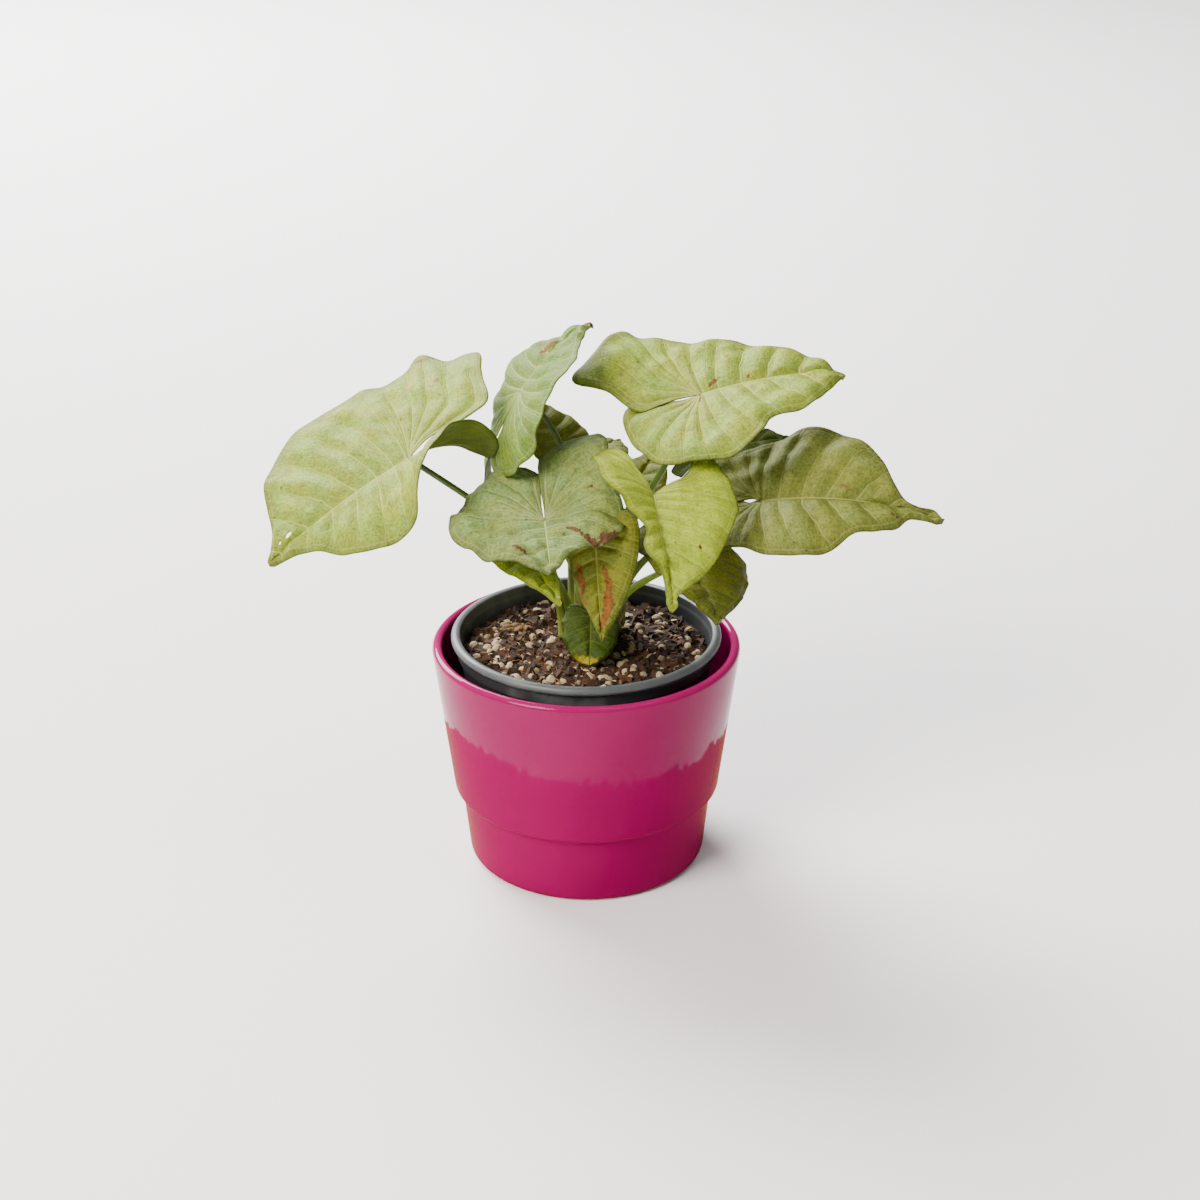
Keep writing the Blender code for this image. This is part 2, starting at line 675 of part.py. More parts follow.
def build_tube(name, route, radius, material):
    curve = bpy.data.curves.new(name, "CURVE")
    curve.dimensions = "3D"
    curve.bevel_depth = radius
    curve.bevel_resolution = STALK_SIDES_RESOLUTION
    curve.use_fill_caps = True
    curve.materials.append(material)
    spline = curve.splines.new("POLY")
    spline.points.add(len(route) - 1)
    for point, (place, share) in zip(spline.points, route):
        point.co = (*place, 1.0)
        point.radius = share
    tube = bpy.data.objects.new(name, curve)
    bpy.context.collection.objects.link(tube)
    return tube


def build_leaf(leaf):
    form = BladeForm(leaf)
    build_blade(leaf, form)
    if leaf.root is None:
        return
    stalk_green = make_material(f"{leaf.name}_stalk_green", (0.20, 0.32, 0.07), 0.5)
    build_tube(f"stalk_{leaf.name}", stalk_route(leaf, form), leaf.stalk_r * MM, stalk_green)


def route_at(route, height):
    """Where a stalk's centre line crosses a height near its foot."""
    for (start, _), (end, _) in zip(route, route[1:]):
        if end.z >= height:
            return start.lerp(end, (height - start.z) / (end.z - start.z))
    return route[-1][0]


def build_sheath(leaf, facing, height):
    """A curved strip round one side of a stalk's foot, narrowing upward."""
    inner_r = leaf.stalk_r * MM + SHEATH_CLEAR
    route = stalk_route(leaf, BladeForm(leaf))
    shape = bmesh.new()
    rows = []
    for level in (0.0, 0.35, 0.7, 1.0):
        span = math.radians(SHEATH_SPAN) * (1 - 0.8 * level ** 2)
        centre = route_at(route, CROWN_TOP + SEAT_GAP + height * level)
        row = []
        for radius in (inner_r + SHEATH_THICKNESS, inner_r):
            for step in range(SHEATH_STEPS + 1):
                angle = math.radians(facing) + span * (step / SHEATH_STEPS - 0.5)
                arm = Vector((math.cos(angle), math.sin(angle), 0.0)) * (radius + SHEATH_FLARE * level)
                row.append(shape.verts.new(centre + arm))
        outer = row[:SHEATH_STEPS + 1]
        rows.append(outer + row[SHEATH_STEPS + 1:][::-1])
    count = len(rows[0])
    for row, above in zip(rows, rows[1:]):
        for step in range(count):
            after = (step + 1) % count
            shape.faces.new((row[step], row[after], above[after], above[step]))
    for row in (rows[0], rows[-1]):
        for step in range(SHEATH_STEPS):
            shape.faces.new((row[step], row[step + 1], row[count - 2 - step], row[count - 1 - step]))
    papery = make_material(f"{leaf.name}_sheath", (0.62, 0.50, 0.30), 0.8)
    finish_mesh(f"sheath_{leaf.name}", shape, papery)


def main():
    clear_scene()
    build_pots()
    build_soil()
    build_crown()
    for leaf in LEAVES:
        build_leaf(leaf)
    for name, facing, height in SHEATHS:
        leaf = next(leaf for leaf in LEAVES if leaf.name == name)
        build_sheath(leaf, facing, height * MM)


main()
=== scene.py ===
"""Looks of the potted arrowhead plant.

Metres, +Z up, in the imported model's frame. Every visible piece is rebuilt here at the
place of its solid: glazed cover pot, moulded nursery pot, growing mix, crown, leaf
blades, leaf stalks and papery sheaths.
"""

import math
from dataclasses import dataclass

import bmesh
import bpy
import numpy as np
from bpy.props import FloatProperty, FloatVectorProperty, IntProperty, PointerProperty
from mathutils import Matrix, Vector


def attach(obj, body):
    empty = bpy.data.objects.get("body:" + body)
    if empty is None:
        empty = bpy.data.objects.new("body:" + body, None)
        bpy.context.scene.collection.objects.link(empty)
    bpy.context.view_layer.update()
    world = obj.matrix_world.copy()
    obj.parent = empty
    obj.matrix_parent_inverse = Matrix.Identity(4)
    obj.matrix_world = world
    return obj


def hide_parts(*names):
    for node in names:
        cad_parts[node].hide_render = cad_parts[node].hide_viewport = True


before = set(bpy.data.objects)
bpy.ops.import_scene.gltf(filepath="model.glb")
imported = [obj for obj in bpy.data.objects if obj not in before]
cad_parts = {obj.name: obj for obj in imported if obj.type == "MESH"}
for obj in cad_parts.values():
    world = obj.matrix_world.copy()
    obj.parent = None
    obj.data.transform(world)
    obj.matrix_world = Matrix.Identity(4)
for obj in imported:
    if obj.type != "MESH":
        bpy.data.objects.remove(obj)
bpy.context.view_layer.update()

bl_info = {
    "name": "Potted Arrowhead Plant",
    "version": (1, 0, 0),
    "blender": (4, 5, 0),
    "location": "View3D > Sidebar > Plant",
    "description": "Builds an arrowhead plant in its nursery pot and glazed cover pot",
    "category": "Add Mesh",
}

MM = 0.001
# Edges of the pots that turn by more degrees than this are sharp
SMOOTH_ANGLE = 40
# Metres for each unit of the leaves', stalks' and sheaths' surface maps
MAP_UNIT = 0.1


# Colour and node helpers


def linear(hex_colour):
    """A linear RGBA colour from an sRGB hex value such as "c8d29c"."""
    channels = [int(hex_colour[i:i + 2], 16) / 255 for i in (0, 2, 4)]
    return (*[c / 12.92 if c <= 0.04045 else ((c + 0.055) / 1.055) ** 2.4 for c in channels], 1.0)


def add(tree, kind, inputs=None, output=0, **settings):
    """Adds a node with its settings, sets or links its inputs, and gives one output."""
    node = tree.nodes.new(kind if "Node" in kind else f"ShaderNode{kind}")
    for name, value in settings.items():
        setattr(node, name, value)
    for key, value in (inputs or {}).items():
        if isinstance(value, bpy.types.NodeSocket):
            tree.links.new(value, node.inputs[key])
        else:
            node.inputs[key].default_value = value
    return node.outputs[output] if len(node.outputs) > 0 else node


def start_material(name, colour, roughness):
    """A new material with its tree and its Principled shader."""
    material = bpy.data.materials.new(name)
    material.use_nodes = True
    material.diffuse_color = colour
    shader = material.node_tree.nodes["Principled BSDF"]
    shader.inputs["Base Color"].default_value = colour
    shader.inputs["Roughness"].default_value = roughness
    return material, material.node_tree, shader


# Mesh helpers


def link_piece(name, mesh, material):
    """A new object for a mesh, with its one material."""
    mesh.materials.append(material)
    piece = bpy.data.objects.new(name, mesh)
    bpy.context.scene.collection.objects.link(piece)
    return piece


def mesh_piece(name, points, faces, material):
    """A smooth-shaded piece made from points and faces."""
    mesh = bpy.data.meshes.new(name)
    mesh.from_pydata([tuple(p) for p in points], [], faces)
    mesh.validate()
    mesh.shade_smooth()
    return link_piece(name, mesh, material)


def face_outward(piece):
    shape = bmesh.new()
    shape.from_mesh(piece.data)
    bmesh.ops.recalc_face_normals(shape, faces=shape.faces)
    shape.to_mesh(piece.data)
    shape.free()


def ring_faces(rings, steps):
    """The quads between rings of points."""
    faces = []
    for ring in range(rings - 1):
        for step in range(steps):
            after = (step + 1) % steps
            low = ring * steps
            faces.append((low + step, low + steps + step, low + steps + after, low + after))
    return faces


def ring_solid(name, rings, material):
    """A closed solid skinned over rings of points, given as (ring, step, xyz)."""
    count, steps = rings.shape[:2]
    last = (count - 1) * steps
    faces = [*ring_faces(count, steps), tuple(range(steps)), tuple(range(last, last + steps))]
    piece = mesh_piece(name, rings.reshape(-1, 3), faces, material)
    face_outward(piece)
    return piece


def take_result(piece):
    """Replaces a piece's mesh by what its modifiers make of it, and removes them."""
    graph = bpy.context.evaluated_depsgraph_get()
    graph.update()
    made = bpy.data.meshes.new_from_object(piece.evaluated_get(graph))
    made.name = piece.name
    piece.modifiers.clear()
    piece.data = made


def store(mesh, name, values):
    """Writes one number per vertex, for a material to read."""
    layer = mesh.attributes.new(name, "FLOAT", "POINT")
    layer.data.foreach_set("value", np.asarray(values, np.float32))


def store_uv(mesh, uv):
    """Writes one (u, v) per vertex to every face corner that uses it."""
    layer = mesh.uv_layers.new(name="surface")
    corners = np.zeros(len(mesh.loops), np.int32)
    mesh.loops.foreach_get("vertex_index", corners)
    layer.data.foreach_set("uv", np.asarray(uv, np.float32)[corners].ravel())


def settle(piece, slot, *nodes):
    """Puts a finished piece on the model's one body, in place of its solids."""
    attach(piece, "root")
    if nodes:
        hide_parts(*nodes)
    return piece


def smooth_step(value):
    """0 below 0, 1 above 1, and a smooth rise between."""
    value = np.clip(value, 0.0, 1.0)
    return value * value * (3 - 2 * value)


def spaced(points, count):
    """Points at equal distances along a line of points, both ends included."""
    reach = np.concatenate([[0.0], np.cumsum(np.linalg.norm(np.diff(points, axis=0), axis=1))])
    target = np.linspace(0.0, reach[-1], count + 1)
    return np.stack([np.interp(target, reach, values) for values in points.T], axis=1)


def rounded_profile(points, radius, steps=5):
    """A (radius, height) profile whose inner corners are rounded.

    A corner takes up less than half of each line that meets it.
    """
    points = [Vector(p) for p in points]
    result = [points[0]]
    for before, corner, after in zip(points, points[1:], points[2:]):
        room = min(radius, (before - corner).length * 0.45, (after - corner).length * 0.45)
        start = corner + (before - corner).normalized() * room
        end = corner + (after - corner).normalized() * room
        for step in range(steps + 1):
            t = step / steps
            result.append(start * (1 - t) ** 2 + corner * 2 * t * (1 - t) + end * t * t)
    result.append(points[-1])
    return result


def turned(name, profile, steps, material, smooth_angle=SMOOTH_ANGLE):
    """A closed solid of revolution. The profile starts and ends on the axis."""
    shape = bmesh.new()
    verts = [shape.verts.new((point[0], 0.0, point[1])) for point in profile]
    edges = [shape.edges.new(pair) for pair in zip(verts, verts[1:])]
    bmesh.ops.spin(
        shape, geom=verts + edges, cent=(0, 0, 0), axis=(0, 0, 1),
        angle=math.tau, steps=steps, use_merge=True,
    )
    bmesh.ops.remove_doubles(shape, verts=shape.verts, dist=0.005 * MM)
    bmesh.ops.recalc_face_normals(shape, faces=shape.faces)
    mesh = bpy.data.meshes.new(name)
    shape.to_mesh(mesh)
    shape.free()
    mesh.shade_smooth()
    mesh.set_sharp_from_angle(angle=math.radians(smooth_angle))
    return link_piece(name, mesh, material)


# Leaf shapes


@dataclass
class Half:
    """One half of a blade: outline (along, out) in mm from the notch round to the tip,
    and the angles in degrees that bend it."""

    outline: list
    fold: float = 10
    curl: float = -20
    lobe_bend: float = 5
    lobe_fold: float = 0
    lobe_curl: float = 0


@dataclass
class Leaf:
    """A blade and its stalk, in millimetres and degrees.

    rust, yellow and holes list patches as (along, out, half length, half width, turn),
    with out positive on the left half. ripple is the height of the waves along the edge,
    and veins counts the laterals of a lobe and of a half body.
    """

    name: str
    junction: tuple
    heading: float
    pitch: float
    roll: float
    length: float
    left: Half
    right: Half
    root: tuple
    arrive: tuple
    droop: float = 15
    tip_curl: float = 8
    twist: float = 0
    fold_start: float = 0.0
    stalk_rise: float = 0.45
    stalk_r: float = 2.0
    finish: str = "pale"
    veins: tuple = (4, 6)
    ripple: float = 0.8
    crumple: float = 0.5
    rust: tuple = ()
    yellow: tuple = ()
    holes: tuple = ()


def species_half(length, width, lobe, **bends):
    """The usual half blade of this plant, scaled to its length, width and lobe."""
    outline = [
        (-0.40 * lobe, 0.12 * width), (-0.82 * lobe, 0.3844 * width), (-lobe, 0.62 * width),
        (-0.55 * lobe, 0.92 * width), (0.05 * length, width), (0.35 * length, 0.84 * width),
        (0.65 * length, 0.50 * width), (0.87 * length, 0.18 * width),
    ]
    return Half(outline, **bends)


ROUND_HALF = Half([(-3, 4), (-4, 9), (0, 12), (8, 13), (16, 10), (21, 5)], fold=5, curl=-30)

LEAVES = [
    Leaf(
        "far_left", junction=(-75, -6, 191), heading=200, pitch=-25, roll=0, length=75,
        left=Half(
            [(-18, 3), (-28, 4), (-33, 8), (-31, 15), (-24, 21), (-12, 26), (8, 36), (27, 35),
             (45, 25), (57, 11)],
            fold=-5, curl=-25, lobe_bend=74, lobe_fold=48, lobe_curl=62,
        ),
        right=Half(
            [(-12, 4), (-28, 1), (-42, 3), (-47, 20), (-53, 40), (-40, 50), (-32, 62), (-20, 56),
             (2, 57), (14, 58), (36, 50), (55, 34), (65, 12)],
            fold=20, curl=-15, lobe_bend=-5, lobe_fold=5,
        ),
        root=(-7, 3), droop=15, tip_curl=8, twist=-15, fold_start=0.28, arrive=(-0.78, -0.1, 0.62),
        stalk_rise=0.35, finish="pale", veins=(5, 7), crumple=1.0, ripple=0.8,
        holes=((60, -3, 1.7, 0.95, 15), (65, -3, 1.0, 0.6, 15)),
        yellow=((-19, -42, 2.4, 1.8, 0), (-22, -26.5, 1.6, 1.3, 0), (12.5, -51, 2.6, 1.3, 10)),
    ),
    Leaf(
        "top_right", junction=(49, 10, 214), heading=8, pitch=16, roll=22, length=67,
        left=Half(
            [(-10, 1.0), (-17, 0.3), (-28, 0.5), (-37, 13), (-50, 25), (-37, 37), (-21, 50),
             (-12, 43), (6, 38), (37, 24), (60, 9)],
            fold=6, curl=-20, lobe_bend=1, lobe_fold=15,
        ),
        right=Half(
            [(-9, 0.4), (-16, -3), (-26, -7), (-34, -2), (-35, 14), (-28, 33), (-12, 39),
             (5, 41), (18, 34), (24, 27), (39, 26), (52, 15)],
            fold=9, curl=-15, lobe_bend=4, lobe_fold=5,
        ),
        root=(6, 8), droop=24, tip_curl=40, twist=-9, arrive=(0.3, 0, 0.95), stalk_rise=0.35,
        finish="pale", veins=(5, 6), crumple=0.9, ripple=0.7,
        rust=((7, 4.2, 5, 0.8, 30), (22, 2.5, 1.3, 0.9, 60), (16.5, 16.5, 1.5, 0.7, 20),
              (25.5, 23.5, 1.4, 0.8, 80), (7.5, 13, 1.2, 0.7, 0), (-1, -3.5, 2.0, 0.5, 70)),
    ),
    Leaf(
        "right", junction=(75, -5, 171), heading=-11, pitch=12, roll=20, length=80,
        left=Half(
            [(-4, 1.6), (-11, 1), (-21, 4), (-31, 17), (-26, 30), (-7, 27), (8, 32), (22, 36),
             (40, 31), (50, 22), (56, 11), (62, 5), (68, 3.4), (75, 4)],
            fold=22, curl=-15, lobe_bend=4,
        ),
        right=Half(
            [(-4, 0.7), (-10, -2), (-18, -5), (-27, -1), (-29, 12), (-24, 26), (-12, 31), (6, 35), (21, 36),
             (31, 32), (39, 23), (50, 18), (59, 12), (65, 5), (75, 4)],
            fold=15, curl=-25, lobe_bend=6,
        ),
        root=(13, 6), droop=36, tip_curl=12, twist=10, arrive=(0.85, -0.2, 0.5),
        finish="khaki", veins=(4, 7), crumple=1.1, ripple=0.9, rust=((56, -8, 3, 0.8, -20),),
    ),
    Leaf(
        "centre", junction=(-17, -35, 174), heading=-84, pitch=-18, roll=8, length=31,
        left=Half(
            [(-8, 0.5), (-22, 0.2), (-37, 3), (-43, 20), (-40, 31), (-20, 31), (6, 34), (16, 27), (23, 14)],
            fold=9, curl=-15, lobe_bend=-15, lobe_fold=8,
        ),
        right=Half(
            [(-9, 0.3), (-20, 0), (-31, 0.6), (-37, 12), (-33, 24), (-20, 34), (-2, 40), (14, 30), (23, 17)],
            fold=6, curl=-10, lobe_bend=0, lobe_fold=-5,
        ),
        root=(-1, 1), droop=5, tip_curl=3, arrive=(-0.2, -0.7, 0.7),
        finish="silvery", veins=(6, 5), crumple=2.2, ripple=1.2,
        rust=((15.5, 27, 6.5, 3.0, 110), (18.5, 19, 6, 1.7, 40), (11.5, 12, 5, 0.9, 50),
              (19, -11.5, 3.6, 1.2, 55), (-28, -20, 1.8, 1.2, 0), (-12.5, 21.5, 1.6, 1.2, 30),
              (-2, -8, 2.4, 0.5, 30)),
    ),
    Leaf(
        "front_right", junction=(28, -38, 187), heading=-80, pitch=-30, roll=-15, length=57,
        left=Half(
            [(-5, 7), (-10, 16), (-20, 22), (-21, 28), (2, 36), (11, 34), (29, 24), (40, 15),
             (48, 5), (51, 2.4), (54, 2.8)],
            fold=12, curl=-6, lobe_bend=10,
        ),
        right=Half(
            [(-10, 6), (-24, 13), (-14, 26), (3, 27), (13, 18), (22, 11), (32, 12), (40, 5),
             (47, 2.4), (51, 1.8), (54, 2.6)],
            fold=32, curl=-25, lobe_bend=20, lobe_fold=-8,
        ),
        root=(5, 2), droop=8, tip_curl=8, twist=-12, arrive=(0.3, -0.6, 0.75),
        finish="lime", veins=(4, 9), crumple=0.7, ripple=0.8,
        rust=((26.5, 15.5, 1.6, 0.8, 40), (-3, -1, 1.6, 1.2, 0)),
    ),
    Leaf(
        "upright", junction=(-28, 15.5, 213.4), heading=35, pitch=53, roll=-7, length=45,
        left=Half(
            [(-9, 0.5), (-28, 0.5), (-43, 5), (-47, 17), (-42, 27), (-28, 32), (-10, 30), (3, 33), (14, 35),
             (23, 26), (31, 11), (39, 6)],
            fold=-5, curl=-15, lobe_bend=24, lobe_fold=-10,
        ),
        right=Half(
            [(-12, 0.4), (-26, 0.6), (-36, 7), (-34, 20), (-24, 33), (-9, 42), (10, 38), (20, 32), (33, 15)],
            fold=19, curl=-8, lobe_bend=20, lobe_fold=-15,
        ),
        root=(-3, 8), droop=38, tip_curl=10, twist=7, arrive=(-0.7, 0, 0.7), stalk_rise=0.6,
        finish="minty", veins=(5, 6), crumple=0.9, ripple=0.6,
        rust=((43, 0, 4, 2.2, 0), (23, 4, 6, 1.6, -10), (35.5, 7, 2.6, 1.0, 0), (14.5, 34, 1.6, 0.9, 90)),
    ),
    Leaf(
        "hanging_front", junction=(4, -38, 169), heading=-82, pitch=-67, roll=12, length=47,
        left=species_half(47, 19, 12, fold=15, curl=-14, lobe_bend=60),
        right=species_half(47, 15, 10, fold=-5, curl=-30, lobe_bend=60),
        root=(3, -4), droop=25, tip_curl=5, twist=10, arrive=(0, -0.75, 0.66),
        finish="amber", veins=(2, 7), ripple=0.4,
        rust=((19, 4.8, 6, 1.8, 8), (28, 4.4, 8, 2.6, -8), (36, 1.8, 5, 1.9, -20), (17, -7, 7, 1.8, 6),
              (27, -6.5, 3.5, 0.8, 20)),
    ),
    Leaf(
        "low_left", junction=(-31, -20, 157), heading=-58, pitch=-20, roll=-5, length=42,
        left=species_half(42, 16, 13, fold=9, curl=-30),
        right=species_half(42, 19, 11, fold=15, curl=-15),
        root=(-10, -2), droop=-5, tip_curl=10, twist=-7, arrive=(-0.5, -0.3, 0.8),
        # Painted light: the brighter lime finish makes this low leaf look sunlit, though it lies in shade
        finish="lime", veins=(2, 6), ripple=0.3,
    ),
    Leaf(
        "low_right", junction=(44, -21, 153), heading=-75, pitch=-22, roll=-8, length=43,
        left=species_half(43, 30, 16, fold=0, curl=-30),
        right=species_half(43, 26, 16, fold=20, curl=-15),
        root=(11, -1), droop=-5, tip_curl=8, twist=-8, arrive=(0.6, -0.2, 0.75),
        finish="amber", veins=(2, 6), ripple=0.6,
    ),
    Leaf(
        "back_left", junction=(-11, 26, 187), heading=135, pitch=40, roll=0, length=30,
        left=species_half(30, 17, 14),
        right=species_half(30, 17, 14),
        root=(-6, 14), droop=20, arrive=(-0.1, 0.4, 0.9),
        finish="amber", veins=(2, 4), crumple=0.5, ripple=0.3,
    ),
    Leaf(
        "back_centre", junction=(3, 42, 176.5), heading=60, pitch=0, roll=0, length=26,
        left=species_half(26, 16, 12),
        right=species_half(26, 16, 12),
        root=(2, 13), arrive=(0, 0.6, 0.8), finish="khaki", veins=(2, 4), crumple=0.5, ripple=0.3,
    ),
    Leaf(
        "back_mid", junction=(22, 24, 167), heading=60, pitch=35, roll=0, length=26,
        left=species_half(26, 14, 9),
        right=species_half(26, 14, 9),
        root=(8, 17), droop=20, arrive=(0.3, 0.3, 0.9),
        finish="amber", veins=(2, 4), crumple=0.5, ripple=0.3,
    ),
    Leaf(
        "back_right", junction=(56, 40, 178), heading=22, pitch=8, roll=-50, length=38,
        left=species_half(38, 20, 17),
        right=species_half(38, 18, 16),
        root=(15, 11), arrive=(0.7, 0.2, 0.7), finish="deep", veins=(2, 5),
    ),
    Leaf(
        "base", junction=(2, -16, 123), heading=-92, pitch=-70, roll=0, length=23,
        left=ROUND_HALF, right=ROUND_HALF,
        root=(-1, -9), droop=-25, arrive=(0, -0.9, 0.4), stalk_rise=0.5, stalk_r=1.4,
        finish="deep", veins=(1, 4), yellow=((22, -3, 4, 9, 0),),
    ),
    Leaf(
        "dead", junction=(-28, 20, 100.4), heading=200, pitch=0, roll=10, length=13,
        left=Half([(-2, 2), (-1, 5), (4, 7), (9, 5)], fold=15, curl=-40),
        right=Half([(-2, 2), (-1, 4), (4, 6), (9, 4)], fold=20, curl=-50),
        root=None, arrive=None, droop=10, finish="withered", veins=(1, 3), crumple=0.6,
    ),
]

# Leaves whose stalk has a dry sheath, the way it faces in degrees and its height in mm
SHEATHS = [("centre", -120, 20), ("front_right", -60, 17), ("low_right", -30, 14)]

RIBS_PER_VEIN = 10
OUTLINE_STEPS = 24
BORDER_POINTS = 300
# How far a rib bows towards the tip, as a share of its length
RIB_BOW = 0.12
# Above 1, the ribs leave the midrib closer together near the stalk's joint
RIB_CROWDING = 1.5
# Blades longer than this many mm get the finer grid
LARGE_BLADE = 40
QUILT_LIMIT = 2.0 * MM
MARGIN_DROP = 0.7 * MM
EDGE_WAVES = 5
# Depth and half width of the midrib's groove above, and of its ridge below
GROOVE_DEPTH, GROOVE_WIDTH = 0.35 * MM, 0.9 * MM
RIDGE_DEPTH, RIDGE_WIDTH = 0.9 * MM, 0.8 * MM
# Vertices between these distances from a hole's middle, in hole radii, move to its rim
HOLE_INNER, HOLE_OUTER = 0.55, 1.6
# What each vertex of a blade tells the leaf tissue
BLADE_LAYERS = (
    "vein_phase", "vein_gap", "share", "margin", "reach", "across", "behind", "under", "rust",
    "yellowing",
)


def rounded_outline(half, length):
    """The half's outline as a smooth curve through its points, in metres."""
    points = [Vector((0.0, 0.0))]
    points += [Vector(point) * MM for point in half.outline]
    points.append(Vector((length, 0.0)))
    padded = [2 * points[0] - points[1], *points, 2 * points[-1] - points[-2]]
    curve = []
    for index in range(1, len(padded) - 2):
        before, start, end, after = padded[index - 1:index + 3]
        for step in range(OUTLINE_STEPS):
            t = step / OUTLINE_STEPS
            point = 0.5 * (
                2 * start + (end - before) * t
                + (2 * before - 5 * start + 4 * end - after) * t * t
                + (3 * start - before - 3 * end + after) * t ** 3
            )
            curve.append((point.x, max(point.y, 0.0) if point.x > 0.0 else point.y))
    curve.append(tuple(points[-1]))
    return np.array(curve)


class BladeForm:
    """Bends flat points of a leaf blade to their places in space."""

    def __init__(self, leaf):
        self.leaf = leaf
        self.length = leaf.length * MM
        self.halves = {1: leaf.left, -1: leaf.right}
        self.width = {side: max(p[1] for p in half.outline) * MM for side, half in self.halves.items()}
        self.lobe = {side: -min(p[0] for p in half.outline) * MM for side, half in self.halves.items()}
        turn = (
            Matrix.Rotation(math.radians(leaf.heading), 3, "Z")
            @ Matrix.Rotation(math.radians(-leaf.pitch), 3, "Y")
            @ Matrix.Rotation(math.radians(leaf.roll), 3, "X")
        )
        self.turn = np.array(turn)
        self.junction = np.array(leaf.junction) * MM
        self.spines = {side: self.spine_table(side) for side in (1, -1)}

    def slope(self, side, along):
        """How steeply the midrib points down, and how far a lobe bends down behind it."""
        back = math.radians(self.halves[side].lobe_bend) * along / self.lobe[side]
        share = along / self.length
        tip = math.radians(self.leaf.tip_curl) * smooth_step((share - 0.8) / 0.2)
        return np.where(along < 0, back, math.radians(self.leaf.droop) * share + tip)

    def spine_table(self, side):
        """The midrib's bent line, continued through the lobe, as (along, x, z)."""
        along = np.linspace(-1.1 * self.lobe[side], 1.02 * self.length, 900)
        angle = self.slope(side, along)
        step = np.diff(along)
        x = np.concatenate([[0], np.cumsum((np.cos(angle)[1:] + np.cos(angle)[:-1]) / 2 * step)])
        z = -np.concatenate([[0], np.cumsum((np.sin(angle)[1:] + np.sin(angle)[:-1]) / 2 * step)])
        x -= np.interp(0.0, along, x)
        z -= np.interp(0.0, along, z)
        return along, x, z

    def place(self, side, along, out):
        """Where flat points of one side lie in space."""
        half = self.halves[side]
        table, xs, zs = self.spines[side]
        x = np.interp(along, table, xs)
        z = np.interp(along, table, zs)
        angle = self.slope(side, along)
        start = self.leaf.fold_start * self.length
        lobe_share = smooth_step((start - along) / (start + 0.8 * self.lobe[side]))
        fold = np.radians(half.fold + half.lobe_fold * lobe_share)
        fold = fold + side * math.radians(self.leaf.twist) * along / self.length
        curl = np.radians(half.curl + half.lobe_curl * lobe_share)
        half_turn = curl / self.width[side] * out / 2
        chord = out * np.sinc(half_turn / math.pi)
        across = chord * np.cos(fold + half_turn)
        lift = chord * np.sin(fold + half_turn)
        local = np.stack([x + lift * np.sin(angle), side * across, z + lift * np.cos(angle)], axis=1)
        return local @ self.turn.T + self.junction

    def normal(self, side, along, out):
        """The upper skin's direction, from neighbouring points."""
        step = 0.2 * MM
        by_along = self.place(side, along + step, out) - self.place(side, along - step, out)
        by_out = self.place(side, along, out + step) - self.place(side, along, out - step)
        cross = side * np.cross(by_along, by_out)
        return cross / np.linalg.norm(cross, axis=1, keepdims=True)

    def up(self):
        return self.turn @ np.array([0.0, 0.0, 1.0])


def waves_field(seed, along, out, low, high, count=7):
    """A smooth irregular height over the flat blade, within about -1 to 1."""
    rng = np.random.default_rng(seed)
    total = np.zeros_like(along)
    for _ in range(count):
        reach = rng.uniform(low, high) * MM
        turn = rng.uniform(0, math.pi)
        offset = rng.uniform(0, math.tau)
        total += np.sin((along * math.cos(turn) + out * math.sin(turn)) * math.tau / reach + offset)
    return total / math.sqrt(count) * 0.8


